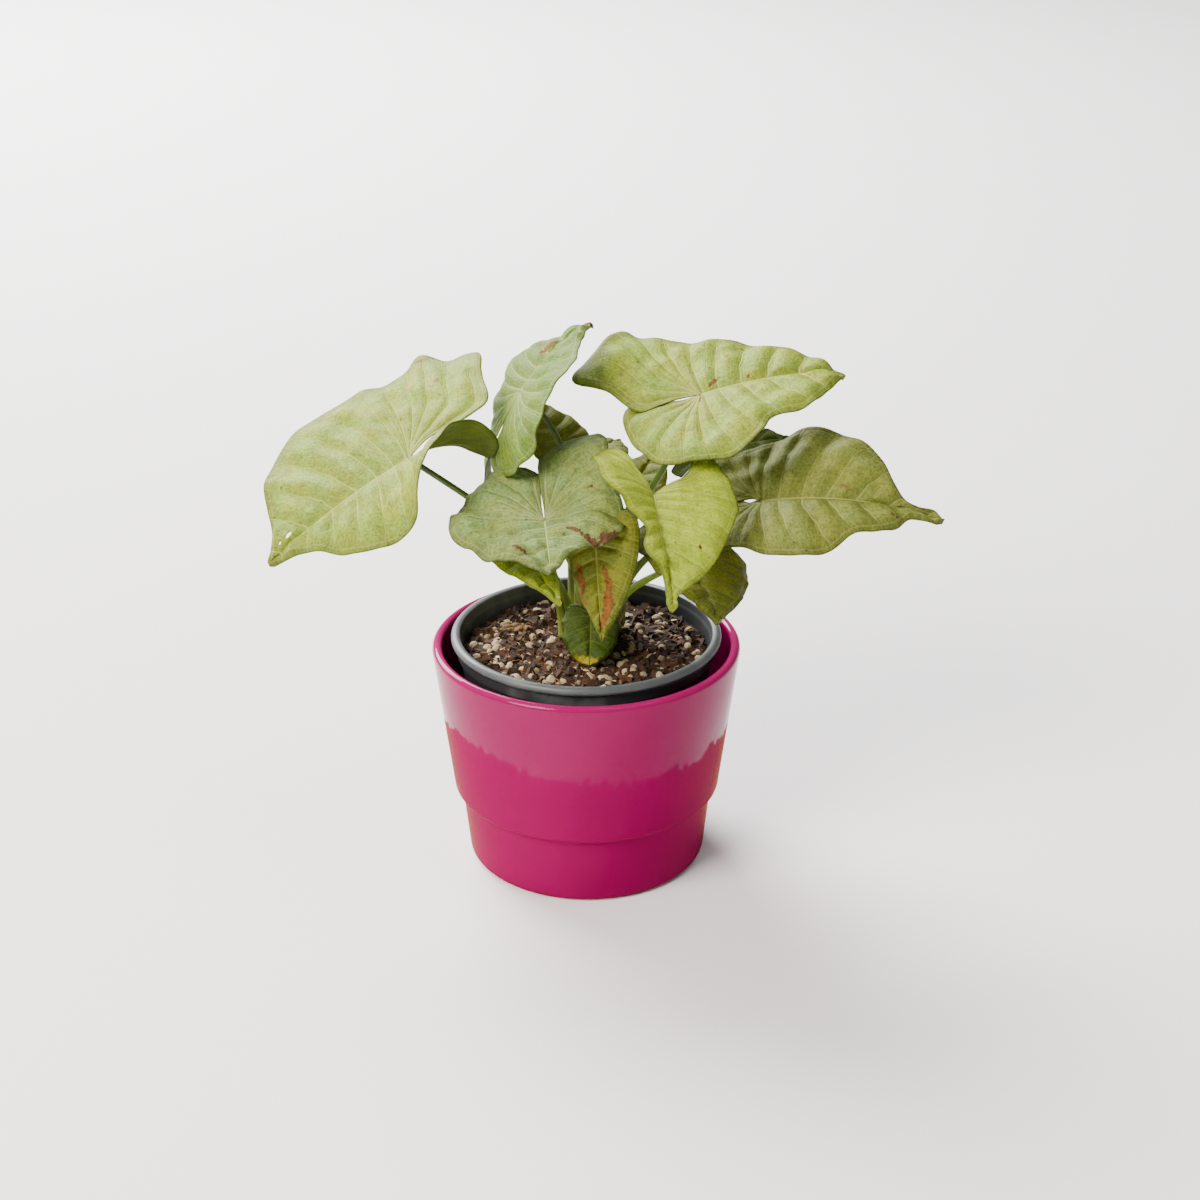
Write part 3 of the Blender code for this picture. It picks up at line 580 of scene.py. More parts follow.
def rib_grid(leaf, half, length, rows):
    """Flat points of a half blade on ribs that follow its veins, and what each carries.

    The first rib is the notch's edge, from the stalk's joint to the lobe's tip. The lobe's
    other ribs fan out from the joint, and the body's start along the midrib.
    """
    lobe_ribs = leaf.veins[0] * RIBS_PER_VEIN
    body_ribs = leaf.veins[1] * RIBS_PER_VEIN
    curve = rounded_outline(half, length)
    shoulder = np.max(np.nonzero(curve[:, 0] < 0)[0])
    lobe_tip = int(np.argmin(curve[:, 0]))
    share = np.linspace(0, 1, rows + 1)[None, :, None]
    notch = spaced(curve[:lobe_tip + 1], rows)[None]
    lobe_edge = spaced(curve[lobe_tip:shoulder + 1], lobe_ribs)
    body_edge = spaced(curve[shoulder:], body_ribs)[1:]
    edge = np.concatenate([lobe_edge, body_edge])
    body_share = np.arange(1, body_ribs + 1) / body_ribs
    feet = np.zeros_like(edge)
    feet[lobe_ribs + 1:, 0] = length * body_share ** RIB_CROWDING
    span = edge - feet
    sideways = np.stack([-span[:, 1], span[:, 0]], axis=1)
    lobe_share = np.arange(lobe_ribs + 1) / lobe_ribs
    bow = RIB_BOW * np.concatenate([lobe_share, 1 - body_share ** 3])
    middle = (edge + feet) / 2 + sideways * bow[:, None]
    flat = feet[:, None] * (1 - share) ** 2 + 2 * middle[:, None] * share * (1 - share)
    flat = flat + edge[:, None] * share ** 2
    hug = np.concatenate([(1 - lobe_share) ** 2, np.zeros(body_ribs)])[:, None, None]
    flat = flat + hug * (notch - share * edge[0])
    ahead = flat[:, :, 0] >= 0
    flat[:, :, 1] = np.where(ahead, np.maximum(flat[:, :, 1], 0.0), flat[:, :, 1])
    phase = np.arange(lobe_ribs + body_ribs + 1) / RIBS_PER_VEIN
    gradient = np.gradient(flat, axis=0) * RIBS_PER_VEIN
    along_rib = np.gradient(flat, axis=1)
    along_rib /= np.maximum(np.linalg.norm(along_rib, axis=2, keepdims=True), 1e-9)
    gap = np.abs(gradient[..., 0] * along_rib[..., 1] - gradient[..., 1] * along_rib[..., 0])
    border = spaced(curve, BORDER_POINTS)
    away = np.min(np.linalg.norm(flat.reshape(-1, 1, 2) - border[None], axis=2), axis=1)
    count = len(edge)
    return {
        "flat": flat,
        "phase": np.repeat(phase[:, None], rows + 1, axis=1),
        "gap": gap,
        "share": np.repeat(share[:, :, 0], count, axis=0),
        "margin": away.reshape(flat.shape[:2]),
        "quarter": np.repeat((np.arange(count) / count)[:, None], rows + 1, axis=1),
    }


def patch_depth(patches, along, out, limit=1.0):
    """How deep each point lies in a patch: 1 at its centre, 0 at its edge, never under -limit."""
    depth = np.full(along.shape, -limit)
    for centre_along, centre_out, half_length, half_width, turn in patches:
        angle = math.radians(turn)
        a = along / MM - centre_along
        b = out / MM - centre_out
        u = (a * math.cos(angle) + b * math.sin(angle)) / half_length
        v = (-a * math.sin(angle) + b * math.cos(angle)) / half_width
        depth = np.maximum(depth, 1 - np.hypot(u, v))
    return depth


def blade_relief(leaf, index, number, grid, quilt_depth):
    """Height of a half blade's skin over its smooth form: quilting, crumples and frilled edge."""
    along, out = grid["flat"][..., 0], grid["flat"][..., 1]
    share = grid["share"]
    seed = index * 2 + number
    fade = smooth_step(share / 0.2) * (1 - smooth_step((share - 0.72) / 0.28))
    bulge = np.abs(np.cos(math.pi * grid["phase"])) ** 0.9
    height = np.minimum(quilt_depth * grid["gap"], QUILT_LIMIT) * bulge * fade
    # Broad crumples of 14 to 34 mm, then crinkles of 6 to 12 mm
    height += leaf.crumple * MM * waves_field(seed, along, out, 14, 34) * smooth_step(share * 1.4)
    height += 0.22 * leaf.crumple * MM * waves_field(seed + 60, along, out, 6, 12) * fade
    turn = math.tau * EDGE_WAVES * grid["quarter"] + index * 1.7 + number
    frill = np.sin(turn) + 0.35 * np.sin(2.3 * turn + seed)
    height += leaf.ripple * MM * share ** 3 * frill * smooth_step(out / (6 * MM))
    return height - MARGIN_DROP * smooth_step((share - 0.86) / 0.14)


def build_blade_mesh(leaf, index, material, thickness, quilt_depth):
    """Both skins of a blade and the rim between them, as one closed mesh.

    The halves share the midrib's vertices, which come first and take no relief.
    """
    form = BladeForm(leaf)
    rows = 30 if leaf.length > LARGE_BLADE else 16
    lobe_ribs, body_ribs = (count * RIBS_PER_VEIN for count in leaf.veins)
    ribs = lobe_ribs + body_ribs + 1
    shared = body_ribs + 1
    per_half = (ribs - 1) * rows
    total = shared + 2 * per_half
    data = {key: np.zeros(total) for key in ("phase", "gap", "share", "margin", "along", "out")}
    place = np.zeros((total, 3))
    normal = np.zeros((total, 3))
    relief = np.zeros(total)
    faces = []
    foot_index = np.concatenate([np.zeros(lobe_ribs + 1, int), np.arange(1, body_ribs + 1)])
    for number, side in enumerate((1, -1)):
        grid = rib_grid(leaf, form.halves[side], form.length, rows)
        ids = np.zeros((ribs, rows + 1), int)
        ids[:, 0] = foot_index
        ids[:-1, 1:] = shared + number * per_half + np.arange(per_half).reshape(ribs - 1, rows)
        ids[-1, :] = body_ribs
        flat_ids = ids.ravel()
        on_shared = flat_ids < shared
        along, out = grid["flat"].reshape(-1, 2).T
        normals = form.normal(side, along, out)
        place[flat_ids] = form.place(side, along, out)
        np.add.at(normal, flat_ids[on_shared], normals[on_shared])
        normal[flat_ids[~on_shared]] = normals[~on_shared]
        height = blade_relief(leaf, index, number, grid, quilt_depth)
        relief[flat_ids] = np.where(on_shared, 0.0, height.ravel())
        for key, value in {**grid, "along": along, "out": side * out}.items():
            if key in data:
                data[key][flat_ids] = value.ravel()
        for r in range(ribs - 1):
            for m in range(rows):
                corners = [ids[r, m], ids[r + 1, m], ids[r + 1, m + 1], ids[r, m + 1]]
                corners = list(dict.fromkeys(int(c) for c in corners))
                if len(corners) > 2:
                    faces.append(corners if side > 0 else corners[::-1])
    data["share"][:shared] = 0.0
    data["out"][:shared] = 0.0
    normal /= np.linalg.norm(normal, axis=1, keepdims=True)
    faces = cut_holes(leaf, form, data, place, faces)
    reach = np.clip(data["along"] / form.length, 0, 1)
    across = np.abs(data["out"])
    ahead = data["along"] >= 0
    groove = GROOVE_DEPTH * np.exp(-(across / GROOVE_WIDTH) ** 2) * ahead * (1 - 0.7 * reach)
    ridge = RIDGE_DEPTH * np.exp(-(across / RIDGE_WIDTH) ** 2) * ahead * (1 - 0.85 * reach)
    top = place + normal * (thickness / 2 + relief - groove)[:, None]
    bottom = place + normal * (-thickness / 2 + relief - ridge)[:, None]
    skins = faces + [[c + total for c in face[::-1]] for face in faces]
    rim = [[b, a, a + total, b + total] for a, b in border_edges(faces)]
    piece = mesh_piece(f"{leaf.name}_blade", np.concatenate([top, bottom]), skins + rim, material)
    mesh = piece.data
    phase, gap, share, margin, along, out = (np.tile(value, 2) for value in data.values())
    layers = (
        phase, gap / MM, share, margin / MM, np.tile(reach, 2), np.abs(out) / MM,
        np.clip(-along / MM, 0, None), np.repeat([0.0, 1.0], total),
        patch_depth(leaf.rust, along, out), patch_depth(leaf.yellow, along, out),
    )
    for name, values in zip(BLADE_LAYERS, layers):
        store(mesh, name, values)
    store_uv(mesh, np.stack([along / MAP_UNIT + index * 3.1, out / MAP_UNIT + index * 1.7], axis=1))
    shape = bmesh.new()
    shape.from_mesh(mesh)
    loose = [vert for vert in shape.verts if not vert.link_faces]
    bmesh.ops.delete(shape, geom=loose, context="VERTS")
    shape.to_mesh(mesh)
    shape.free()
    return piece


def cut_holes(leaf, form, data, place, faces):
    """Snaps vertices near each hole to its rim, and drops the faces inside it."""
    inside = np.zeros(len(place), bool)
    for hole in leaf.holes:
        # Distance from the hole's middle, where 1 is its rim
        away = 1 - patch_depth([hole], data["along"], data["out"], 9.0)
        centre = np.array(hole[:2]) * MM
        for index in np.nonzero((away > HOLE_INNER) & (away < HOLE_OUTER))[0]:
            flat = np.array([data["along"][index], data["out"][index]])
            flat = centre + (flat - centre) / away[index]
            side = 1 if flat[1] >= 0 else -1
            data["along"][index], data["out"][index] = flat
            place[index] = form.place(side, flat[:1], np.abs(flat[1:]))[0]
        inside |= away < HOLE_OUTER
    return [face for face in faces if not all(inside[c] for c in face)]


def border_edges(faces):
    """Directed edges that only one face uses."""
    seen = {}
    for face in faces:
        for a, b in zip(face, face[1:] + face[:1]):
            seen[(a, b)] = True
    return [(a, b) for a, b in seen if (b, a) not in seen]


# Materials


def waxy_tissue(name, colours, mottling, fleck_size, light_through):
    """Living leaf tissue with a waxy skin, which gives satin highlights and lets some light through.

    Veins are pale and sunk above, and raised below. Patches follow the blade's own map,
    where one unit is 100 mm: broad patches are 14 mm across and mottles 5 mm.
    """
    material, tree, shader = start_material(f"waxy_leaf_tissue_{name}", colours["mint"], 0.5)
    shader.inputs["Specular IOR Level"].default_value = 0.22
    surface = add(tree, "UVMap", uv_map="surface")
    phase, gap, share, margin, reach, across, behind, under, rust, yellowing = (
        add(tree, "Attribute", output="Fac", attribute_name=layer) for layer in BLADE_LAYERS
    )

    broad = add(tree, "TexNoise", {"Vector": surface, "Scale": 7.0, "Detail": 3.0})
    mottle = add(tree, "TexNoise", {"Vector": surface, "Scale": 20.0, "Detail": 4.0, "Roughness": 0.6})
    fine = add(tree, "TexNoise", {"Vector": surface, "Scale": 75.0, "Detail": 3.0, "Roughness": 0.65})
    cells = add(tree, "TexVoronoi", {"Vector": surface, "Scale": 42.0}, feature="DISTANCE_TO_EDGE")

    # Lateral veins, one for each whole step of the phase, and three finer ones between them
    wander = add(tree, "Math", {0: broad, 1: 0.5}, operation="SUBTRACT")
    wander = add(tree, "Math", {0: wander, 1: 0.35, 2: phase}, operation="MULTIPLY_ADD")
    lateral_width = add(tree, "MapRange", {"Value": share, "To Min": 0.75, "To Max": 0.24})
    laterals = vein_lines(tree, wander, gap, 1.0, lateral_width)
    wander = add(tree, "Math", {0: mottle, 1: 0.5}, operation="SUBTRACT")
    wander = add(tree, "Math", {0: wander, 1: 0.30, 2: phase}, operation="MULTIPLY_ADD")
    finer = vein_lines(tree, wander, gap, 4.0, 0.30)
    midrib_width = add(tree, "MapRange", {"Value": reach, "To Min": 0.95, "To Max": 0.30})
    midrib = add(tree, "MapRange", {"Value": across, "From Max": midrib_width, "To Min": 1.0, "To Max": 0.0},
                 interpolation_type="SMOOTHSTEP")
    ahead = add(tree, "MapRange", {"Value": behind, "From Max": 0.6, "To Min": 1.0, "To Max": 0.0})
    midrib = add(tree, "Math", {0: midrib, 1: ahead}, operation="MULTIPLY")
    rim_vein = add(tree, "Math", {0: margin, 1: 2.2, 2: 0.32}, operation="COMPARE")
    web = add(tree, "MapRange", {"Value": cells, "From Max": 0.07, "To Min": 1.0, "To Max": 0.0})

    # Upper skin: minty and yellowish patches, dark mottles, a felted grain, painted shade in the
    # hollow beside each lateral, darker mottles along the edge, a pale web of cells, then the veins
    choice = add(tree, "MapRange", {"Value": broad, "From Min": 0.38, "From Max": 0.62},
                 interpolation_type="SMOOTHSTEP")
    top = add(tree, "Mix", {0: choice, 6: colours["warm"], 7: colours["mint"]}, 2, data_type="RGBA")
    dark = add(tree, "MapRange", {"Value": mottle, "From Min": 0.46, "From Max": 0.68, "To Max": mottling},
               interpolation_type="SMOOTHSTEP")
    felt = add(tree, "TexNoise", {"Vector": surface, "Scale": 190.0, "Detail": 2.0, "Roughness": 0.7})
    grain = add(tree, "Math", {0: felt, 1: 0.6, 2: fine}, operation="MULTIPLY_ADD")
    grain = add(tree, "MapRange", {"Value": grain, "From Min": 0.72, "From Max": 0.96, "To Max": 0.80})
    # Painted shade: darker green on one side of each lateral vein, strongest near the midrib
    inward = {"Value": share, "From Min": 0.06, "From Max": 0.8, "To Min": 0.32, "To Max": 0.0}
    painted_hollow_shade = add(tree, "MapRange", inward, interpolation_type="SMOOTHSTEP")
    beside = add(tree, "Math", {0: phase}, operation="FRACT")
    beside = add(tree, "MapRange", {
        "Value": beside, "From Min": 0.5, "From Max": 0.95, "To Min": 1.0, "To Max": 0.0,
    })
    painted_hollow_shade = add(tree, "Math", {0: painted_hollow_shade, 1: beside}, operation="MULTIPLY")
    near_edge = add(tree, "MapRange", {"Value": margin, "From Max": 8.0, "To Min": 1.5, "To Max": 0.0},
                    interpolation_type="SMOOTHSTEP")
    near_edge = add(tree, "Math", {0: near_edge, 1: mottle}, operation="MULTIPLY", use_clamp=True)
    web_tint = add(tree, "Math", {0: web, 1: 0.20}, operation="MULTIPLY")
    faint = add(tree, "Math", {0: finer, 1: 0.20}, operation="MULTIPLY")
    faint = add(tree, "Math", {0: rim_vein, 1: 0.22, 2: faint}, operation="MULTIPLY_ADD")
    strong = add(tree, "Math", {0: laterals, 1: 0.52}, operation="MULTIPLY")
    lines = add(tree, "Math", {0: strong, 1: faint}, operation="MAXIMUM")
    lines = add(tree, "Math", {0: midrib, 1: lines}, operation="MAXIMUM")

    # Tiny dark dots, one in some 5 mm cells, and pinkish brown flecks, one in some 12 mm cells
    dots = cell_marks(tree, surface, (1.0, 1.0, 1.0), 21.0, 0.16, 0.35)
    flecks = cell_marks(tree, surface, (0.55, 1.0, 1.0), 8.5, fleck_size, 0.62)
    tints = (
        (dark, "mottle"), (grain, "mottle"), (painted_hollow_shade, "mottle"), (near_edge, "mottle"),
        (web_tint, "vein"), (lines, "vein"), (dots, "dot"), (flecks, "fleck"),
    )
    for strength, tone in tints:
        top = add(tree, "Mix", {0: strength, 6: top, 7: colours[tone]}, 2, data_type="RGBA")

    # Under skin: greener and darker, the darkness partly painted shade, with raised paler veins
    below = add(tree, "Mix", {0: mottle, 6: colours["under"], 7: colours["mottle"]}, 2, data_type="RGBA")
    lines_below = add(tree, "Math", {0: lines, 1: 0.75}, operation="MULTIPLY")
    below = add(tree, "Mix", {0: lines_below, 6: below, 7: colours["under_vein"]}, 2, data_type="RGBA")
    skin = add(tree, "Mix", {0: under, 6: top, 7: below}, 2, data_type="RGBA")

    # Scorched, rusty and yellowed patches have ragged edges and show on both skins
    rough_edge = add(tree, "Math", {0: mottle, 1: 0.5}, operation="SUBTRACT")
    depth = add(tree, "Math", {0: rough_edge, 1: 1.6, 2: rust}, operation="MULTIPLY_ADD")
    ragged = add(tree, "Math", {0: fine, 1: 0.5}, operation="SUBTRACT")
    depth = add(tree, "Math", {0: ragged, 1: 1.3, 2: depth}, operation="MULTIPLY_ADD")
    scorch = add(tree, "MapRange", {"Value": depth, "From Min": 0.0, "From Max": 0.20},
                 interpolation_type="SMOOTHSTEP")
    uneven = add(tree, "MapRange", {"Value": fine, "From Min": 0.40, "From Max": 0.62})
    burnt = add(tree, "Mix", {0: uneven, 6: colours["rust"], 7: colours["rust_dark"]}, 2, data_type="RGBA")
    inner = add(tree, "MapRange", {"Value": depth, "From Min": 0.06, "From Max": 0.26})
    burnt = add(tree, "Mix", {0: inner, 6: colours["rust_dark"], 7: burnt}, 2, data_type="RGBA")
    depth = add(tree, "Math", {0: rough_edge, 1: 2.0, 2: yellowing}, operation="MULTIPLY_ADD")
    faded = add(tree, "MapRange", {"Value": depth, "From Min": -0.1, "From Max": 0.3, "To Max": 0.8},
                interpolation_type="SMOOTHSTEP")
    lip = add(tree, "MapRange", {
        "Value": margin, "From Min": 0.15, "From Max": 0.7, "To Min": 0.6, "To Max": 0.0,
    })
    for strength, tone in ((faded, colours["yellowed"]), (scorch, burnt), (lip, colours["dot"])):
        skin = add(tree, "Mix", {0: strength, 6: skin, 7: tone}, 2, data_type="RGBA")
    tree.links.new(skin, shader.inputs["Base Color"])

    gloss = add(tree, "MapRange", {"Value": fine, "To Min": 0.48, "To Max": 0.70})
    gloss = add(tree, "Mix", {0: scorch, 2: gloss, 3: 0.8}, 0)
    tree.links.new(gloss, shader.inputs["Roughness"])
    sunk = add(tree, "MapRange", {"Value": under, "To Min": -1.0, "To Max": 1.0})
    relief = add(tree, "Math", {0: lines, 1: sunk}, operation="MULTIPLY")
    relief = add(tree, "Math", {0: fine, 1: 0.35, 2: relief}, operation="MULTIPLY_ADD")
    web_relief = add(tree, "Math", {0: web, 1: -0.22, 2: relief}, operation="MULTIPLY_ADD")
    normal = add(tree, "Bump", {"Height": web_relief, "Distance": 0.34 * MM, "Strength": 1.0})
    tree.links.new(normal, shader.inputs["Normal"])
    glow = add(tree, "Mix", {0: 0.55, 6: skin, 7: colours["through"]}, 2, data_type="RGBA")
    passed = add(tree, "BsdfTranslucent", {"Color": glow, "Normal": normal})
    body = add(tree, "MixShader", {0: light_through, 1: shader.outputs[0], 2: passed})
    tree.links.new(body, tree.nodes["Material Output"].inputs["Surface"])
    return material


def vein_lines(tree, phase, gap, times, half_width):
    """How strongly a point lies on veins that repeat a number of times in each phase step."""
    scaled = add(tree, "Math", {0: phase, 1: times}, operation="MULTIPLY")
    place = add(tree, "Math", {0: scaled}, operation="FRACT")
    aside = add(tree, "Math", {0: place, 1: 0.5}, operation="SUBTRACT")
    aside = add(tree, "Math", {0: aside}, operation="ABSOLUTE")
    wide = add(tree, "Math", {0: gap, 1: 1.0 / times}, operation="MULTIPLY")
    distance = add(tree, "Math", {0: aside, 1: wide}, operation="MULTIPLY")
    inputs = {"Value": distance, "From Max": half_width, "To Min": 1.0, "To Max": 0.0}
    return add(tree, "MapRange", inputs, interpolation_type="SMOOTHSTEP")


def cell_marks(tree, vector, stretch, scale, size, rarity):
    """Small marks at the middles of some Voronoi cells, as a 0 to 1 strength."""
    place = add(tree, "Mapping", {"Vector": vector, "Scale": stretch})
    ragged = add(tree, "TexNoise", {"Vector": place, "Scale": scale * 6.0, "Detail": 2.0}, "Color")
    place = add(tree, "VectorMath", {0: ragged, 1: (0.6 / scale,) * 3, 2: place}, operation="MULTIPLY_ADD")
    cell = add(tree, "TexVoronoi", {"Vector": place, "Scale": scale})
    chance = cell.node.outputs["Color"]
    chosen = add(tree, "SeparateColor", {"Color": chance})
    limit = add(tree, "MapRange", {"Value": chosen, "From Min": rarity, "From Max": 1.0, "To Max": size})
    near = add(tree, "Math", {0: limit, 1: cell}, operation="SUBTRACT")
    return add(tree, "MapRange", {"Value": near, "From Min": 0.0, "From Max": 0.03, "To Max": 0.85})


TONES = (
    "warm", "mint", "mottle", "vein", "dot", "fleck",
    "under", "under_vein", "rust", "rust_dark", "yellowed", "through",
)
# For each finish: how strong its mottles are, how large its flecks, how much light passes,
# and its colour for each of TONES
FINISHES = {
    "pale": (0.55, 0.16, 0.15, (
        "9ca82a 90ad38 5f6d1c c6c764 3f4912 864a2c "
        "3c4c0c 6f7d30 8c5a30 57341a c79c50 93a51e"
    )),
    "minty": (0.5, 0.16, 0.18, (
        "687c12 5c7f1e 546a1c b4c068 3c4812 864a2c "
        "4e600c 86943c 8a5438 57341a c79c50 8ea51e"
    )),
    "silvery": (0.6, 0.17, 0.2, (
        "9aa84e 8ba960 58682e bdc27c 343e14 8a4c34 "
        "4e5c14 7d8a42 7c5538 4c3220 b9924c 8a9a28"
    )),
    "lime": (0.4, 0.1, 0.28, (
        "c4d434 b4cc34 86961a e2e86c 4f5b16 85492c "
        "66751a 96a23c 845024 563014 c49a38 a4b41c"
    )),
    "khaki": (0.55, 0.13, 0.24, (
        "8f9438 84903e 585f1c b6b662 3a4010 7c4526 "
        "434f0a 737f30 8a5628 553214 a98a2c 808e18"
    )),
    "amber": (0.5, 0.13, 0.3, (
        "88881e 767f22 52590e a3a544 3a400c 7c4822 "
        "5a6610 86903a 98622a 663c16 b08c28 98a018"
    )),
    "deep": (0.6, 0.05, 0.2, (
        "56661a 48601a 2f400a 6f7e2a 222d08 5f461a "
        "4e5e16 6f7c34 7a5820 4a3210 b3a022 6f7e10"
    )),
    "withered": (0.7, 0.2, 0.15, (
        "a06612 7a5414 4a2e0c 8a6420 2e1c08 4a2c12 "
        "5a4218 7a6430 5a3816 36200c 95731f 7a5a16"
    )),
}


def leaf_materials():
    """One leaf tissue for each finish."""
    made = {}
    for name, (mottling, fleck_size, light_through, colours) in FINISHES.items():
        tones = dict(zip(TONES, map(linear, colours.split())))
        made[name] = waxy_tissue(name, tones, mottling, fleck_size, light_through)
    return made


def stalk_fibre(name, foot, middle, top):
    """Fleshy leaf stalk with lengthwise fibres: smooth, slightly shiny, streaked along its length.

    Streaks are about 0.5 mm wide. The stalk's map runs round it in u and along it in v.
    """
    material, tree, shader = start_material(f"fleshy_stalk_{name}", middle, 0.36)
    shader.inputs["Specular IOR Level"].default_value = 0.3
    surface = add(tree, "UVMap", uv_map="surface")
    reach = add(tree, "Attribute", output="Fac", attribute_name="reach")
    lengthwise = add(tree, "Mapping", {"Vector": surface, "Scale": (1.0, 0.035, 1.0)})
    streaks = add(tree, "TexNoise", {"Vector": lengthwise, "Scale": 140.0, "Detail": 3.0})
    blotches = add(tree, "TexNoise", {"Vector": surface, "Scale": 14.0, "Detail": 3.0})
    low = add(tree, "MapRange", {"Value": reach, "From Min": 0.02, "From Max": 0.42},
              interpolation_type="SMOOTHSTEP")
    high = add(tree, "MapRange", {"Value": reach, "From Min": 0.55, "From Max": 1.0},
               interpolation_type="SMOOTHSTEP")
    colour = add(tree, "Mix", {0: low, 6: foot, 7: middle}, 2, data_type="RGBA")
    colour = add(tree, "Mix", {0: high, 6: colour, 7: top}, 2, data_type="RGBA")
    dark = add(tree, "MapRange", {"Value": streaks, "From Min": 0.4, "From Max": 0.7, "To Max": 0.55})
    colour = add(tree, "Mix", {0: dark, 6: colour, 7: linear("3d4a12")}, 2, data_type="RGBA")
    pale = add(tree, "MapRange", {"Value": blotches, "From Min": 0.55, "From Max": 0.75, "To Max": 0.25})
    colour = add(tree, "Mix", {0: pale, 6: colour, 7: linear("93a045")}, 2, data_type="RGBA")
    tree.links.new(colour, shader.inputs["Base Color"])
    normal = add(tree, "Bump", {"Height": streaks, "Distance": 0.12 * MM, "Strength": 0.8})
    tree.links.new(normal, shader.inputs["Normal"])
    gloss = add(tree, "MapRange", {"Value": blotches, "To Min": 0.28, "To Max": 0.5})
    tree.links.new(gloss, shader.inputs["Roughness"])
    return material


def papery_sheath():
    """Dry leaf sheath, thin as paper: matt, cream, with brown fibres 0.6 mm apart and browned edges."""
    material, tree, shader = start_material("dry_papery_sheath", linear("cdbb8c"), 0.85)
    surface = add(tree, "UVMap", uv_map="surface")
    edge = add(tree, "Attribute", output="Fac", attribute_name="edge")
    lengthwise = add(tree, "Mapping", {"Vector": surface, "Scale": (1.0, 0.06, 1.0)})
    fibres = add(tree, "TexNoise", {"Vector": lengthwise, "Scale": 130.0, "Detail": 3.0, "Roughness": 0.6})
    patches = add(tree, "TexNoise", {"Vector": surface, "Scale": 30.0, "Detail": 3.0})
    colour = add(tree, "Mix", {0: patches, 6: linear("e0d3a8"), 7: linear("b49a62")}, 2, data_type="RGBA")
    dark = add(tree, "MapRange", {"Value": fibres, "From Min": 0.45, "From Max": 0.72, "To Max": 0.7})
    colour = add(tree, "Mix", {0: dark, 6: colour, 7: linear("7a5a30")}, 2, data_type="RGBA")
    browned = add(tree, "Math", {0: edge, 1: patches}, operation="MULTIPLY")
    colour = add(tree, "Mix", {0: browned, 6: colour, 7: linear("55391c")}, 2, data_type="RGBA")
    tree.links.new(colour, shader.inputs["Base Color"])
    normal = add(tree, "Bump", {"Height": fibres, "Distance": 0.2 * MM, "Strength": 1.0})
    tree.links.new(normal, shader.inputs["Normal"])
    passed = add(tree, "BsdfTranslucent", {"Color": colour})
    body = add(tree, "MixShader", {0: 0.3, 1: shader.outputs[0], 2: passed})
    tree.links.new(body, tree.nodes["Material Output"].inputs["Surface"])
    return material


def glazed_ceramic(colour, roughness):
    """Dipped and fired gloss glaze: mirror-like, a little wavy over 25 mm, with bare clay where it stood.

    The glaze runs slightly thin and lighter over the lip, and pools darker at the ledge.
    """
    material, tree, shader = start_material("magenta_gloss_glaze", colour, roughness)
    shader.inputs["IOR"].default_value = 1.45
    shader.inputs["Specular IOR Level"].default_value = 0.17
    place = add(tree, "TexCoord", output="Object")
    axes = add(tree, "SeparateXYZ", {0: place}, "Z")
    cloud = add(tree, "TexNoise", {"Vector": place, "Scale": 30.0, "Detail": 3.0})
    speck = add(tree, "TexNoise", {"Vector": place, "Scale": 900.0, "Detail": 2.0})
    deep = add(tree, "MapRange", {"Value": cloud, "From Min": 0.35, "From Max": 0.7, "To Max": 0.22})
    glaze = add(tree, "Mix", {0: deep, 6: colour, 7: linear("6c0138")}, 2, data_type="RGBA")
    at_lip = add(tree, "MapRange", {"Value": axes, "From Min": 0.1015, "From Max": 0.1035, "To Max": 0.30},
                 interpolation_type="SMOOTHSTEP")
    glaze = add(tree, "Mix", {0: at_lip, 6: glaze, 7: linear("b81c6c")}, 2, data_type="RGBA")
    pooled = add(tree, "Math", {0: axes, 1: 0.0338, 2: 0.0012}, operation="COMPARE")
    pooled = add(tree, "Math", {0: pooled, 1: 0.25}, operation="MULTIPLY")
    glaze = add(tree, "Mix", {0: pooled, 6: glaze, 7: linear("7a0038")}, 2, data_type="RGBA")
    bare = add(tree, "Math", {0: axes, 1: 0.0004}, operation="LESS_THAN")
    clay = add(tree, "Mix", {0: speck, 6: linear("dccbb2"), 7: linear("b59f84")}, 2, data_type="RGBA")
    surface = add(tree, "Mix", {0: bare, 6: glaze, 7: clay}, 2, data_type="RGBA")
    tree.links.new(surface, shader.inputs["Base Color"])
    sheen = add(tree, "Mix", {0: bare, 2: roughness, 3: 0.85}, 0)
    tree.links.new(sheen, shader.inputs["Roughness"])
    waves = add(tree, "TexNoise", {"Vector": place, "Scale": 40.0, "Detail": 1.0})
    normal = add(tree, "Bump", {"Height": waves, "Distance": 0.35 * MM, "Strength": 0.5})
    tree.links.new(normal, shader.inputs["Normal"])
    return material


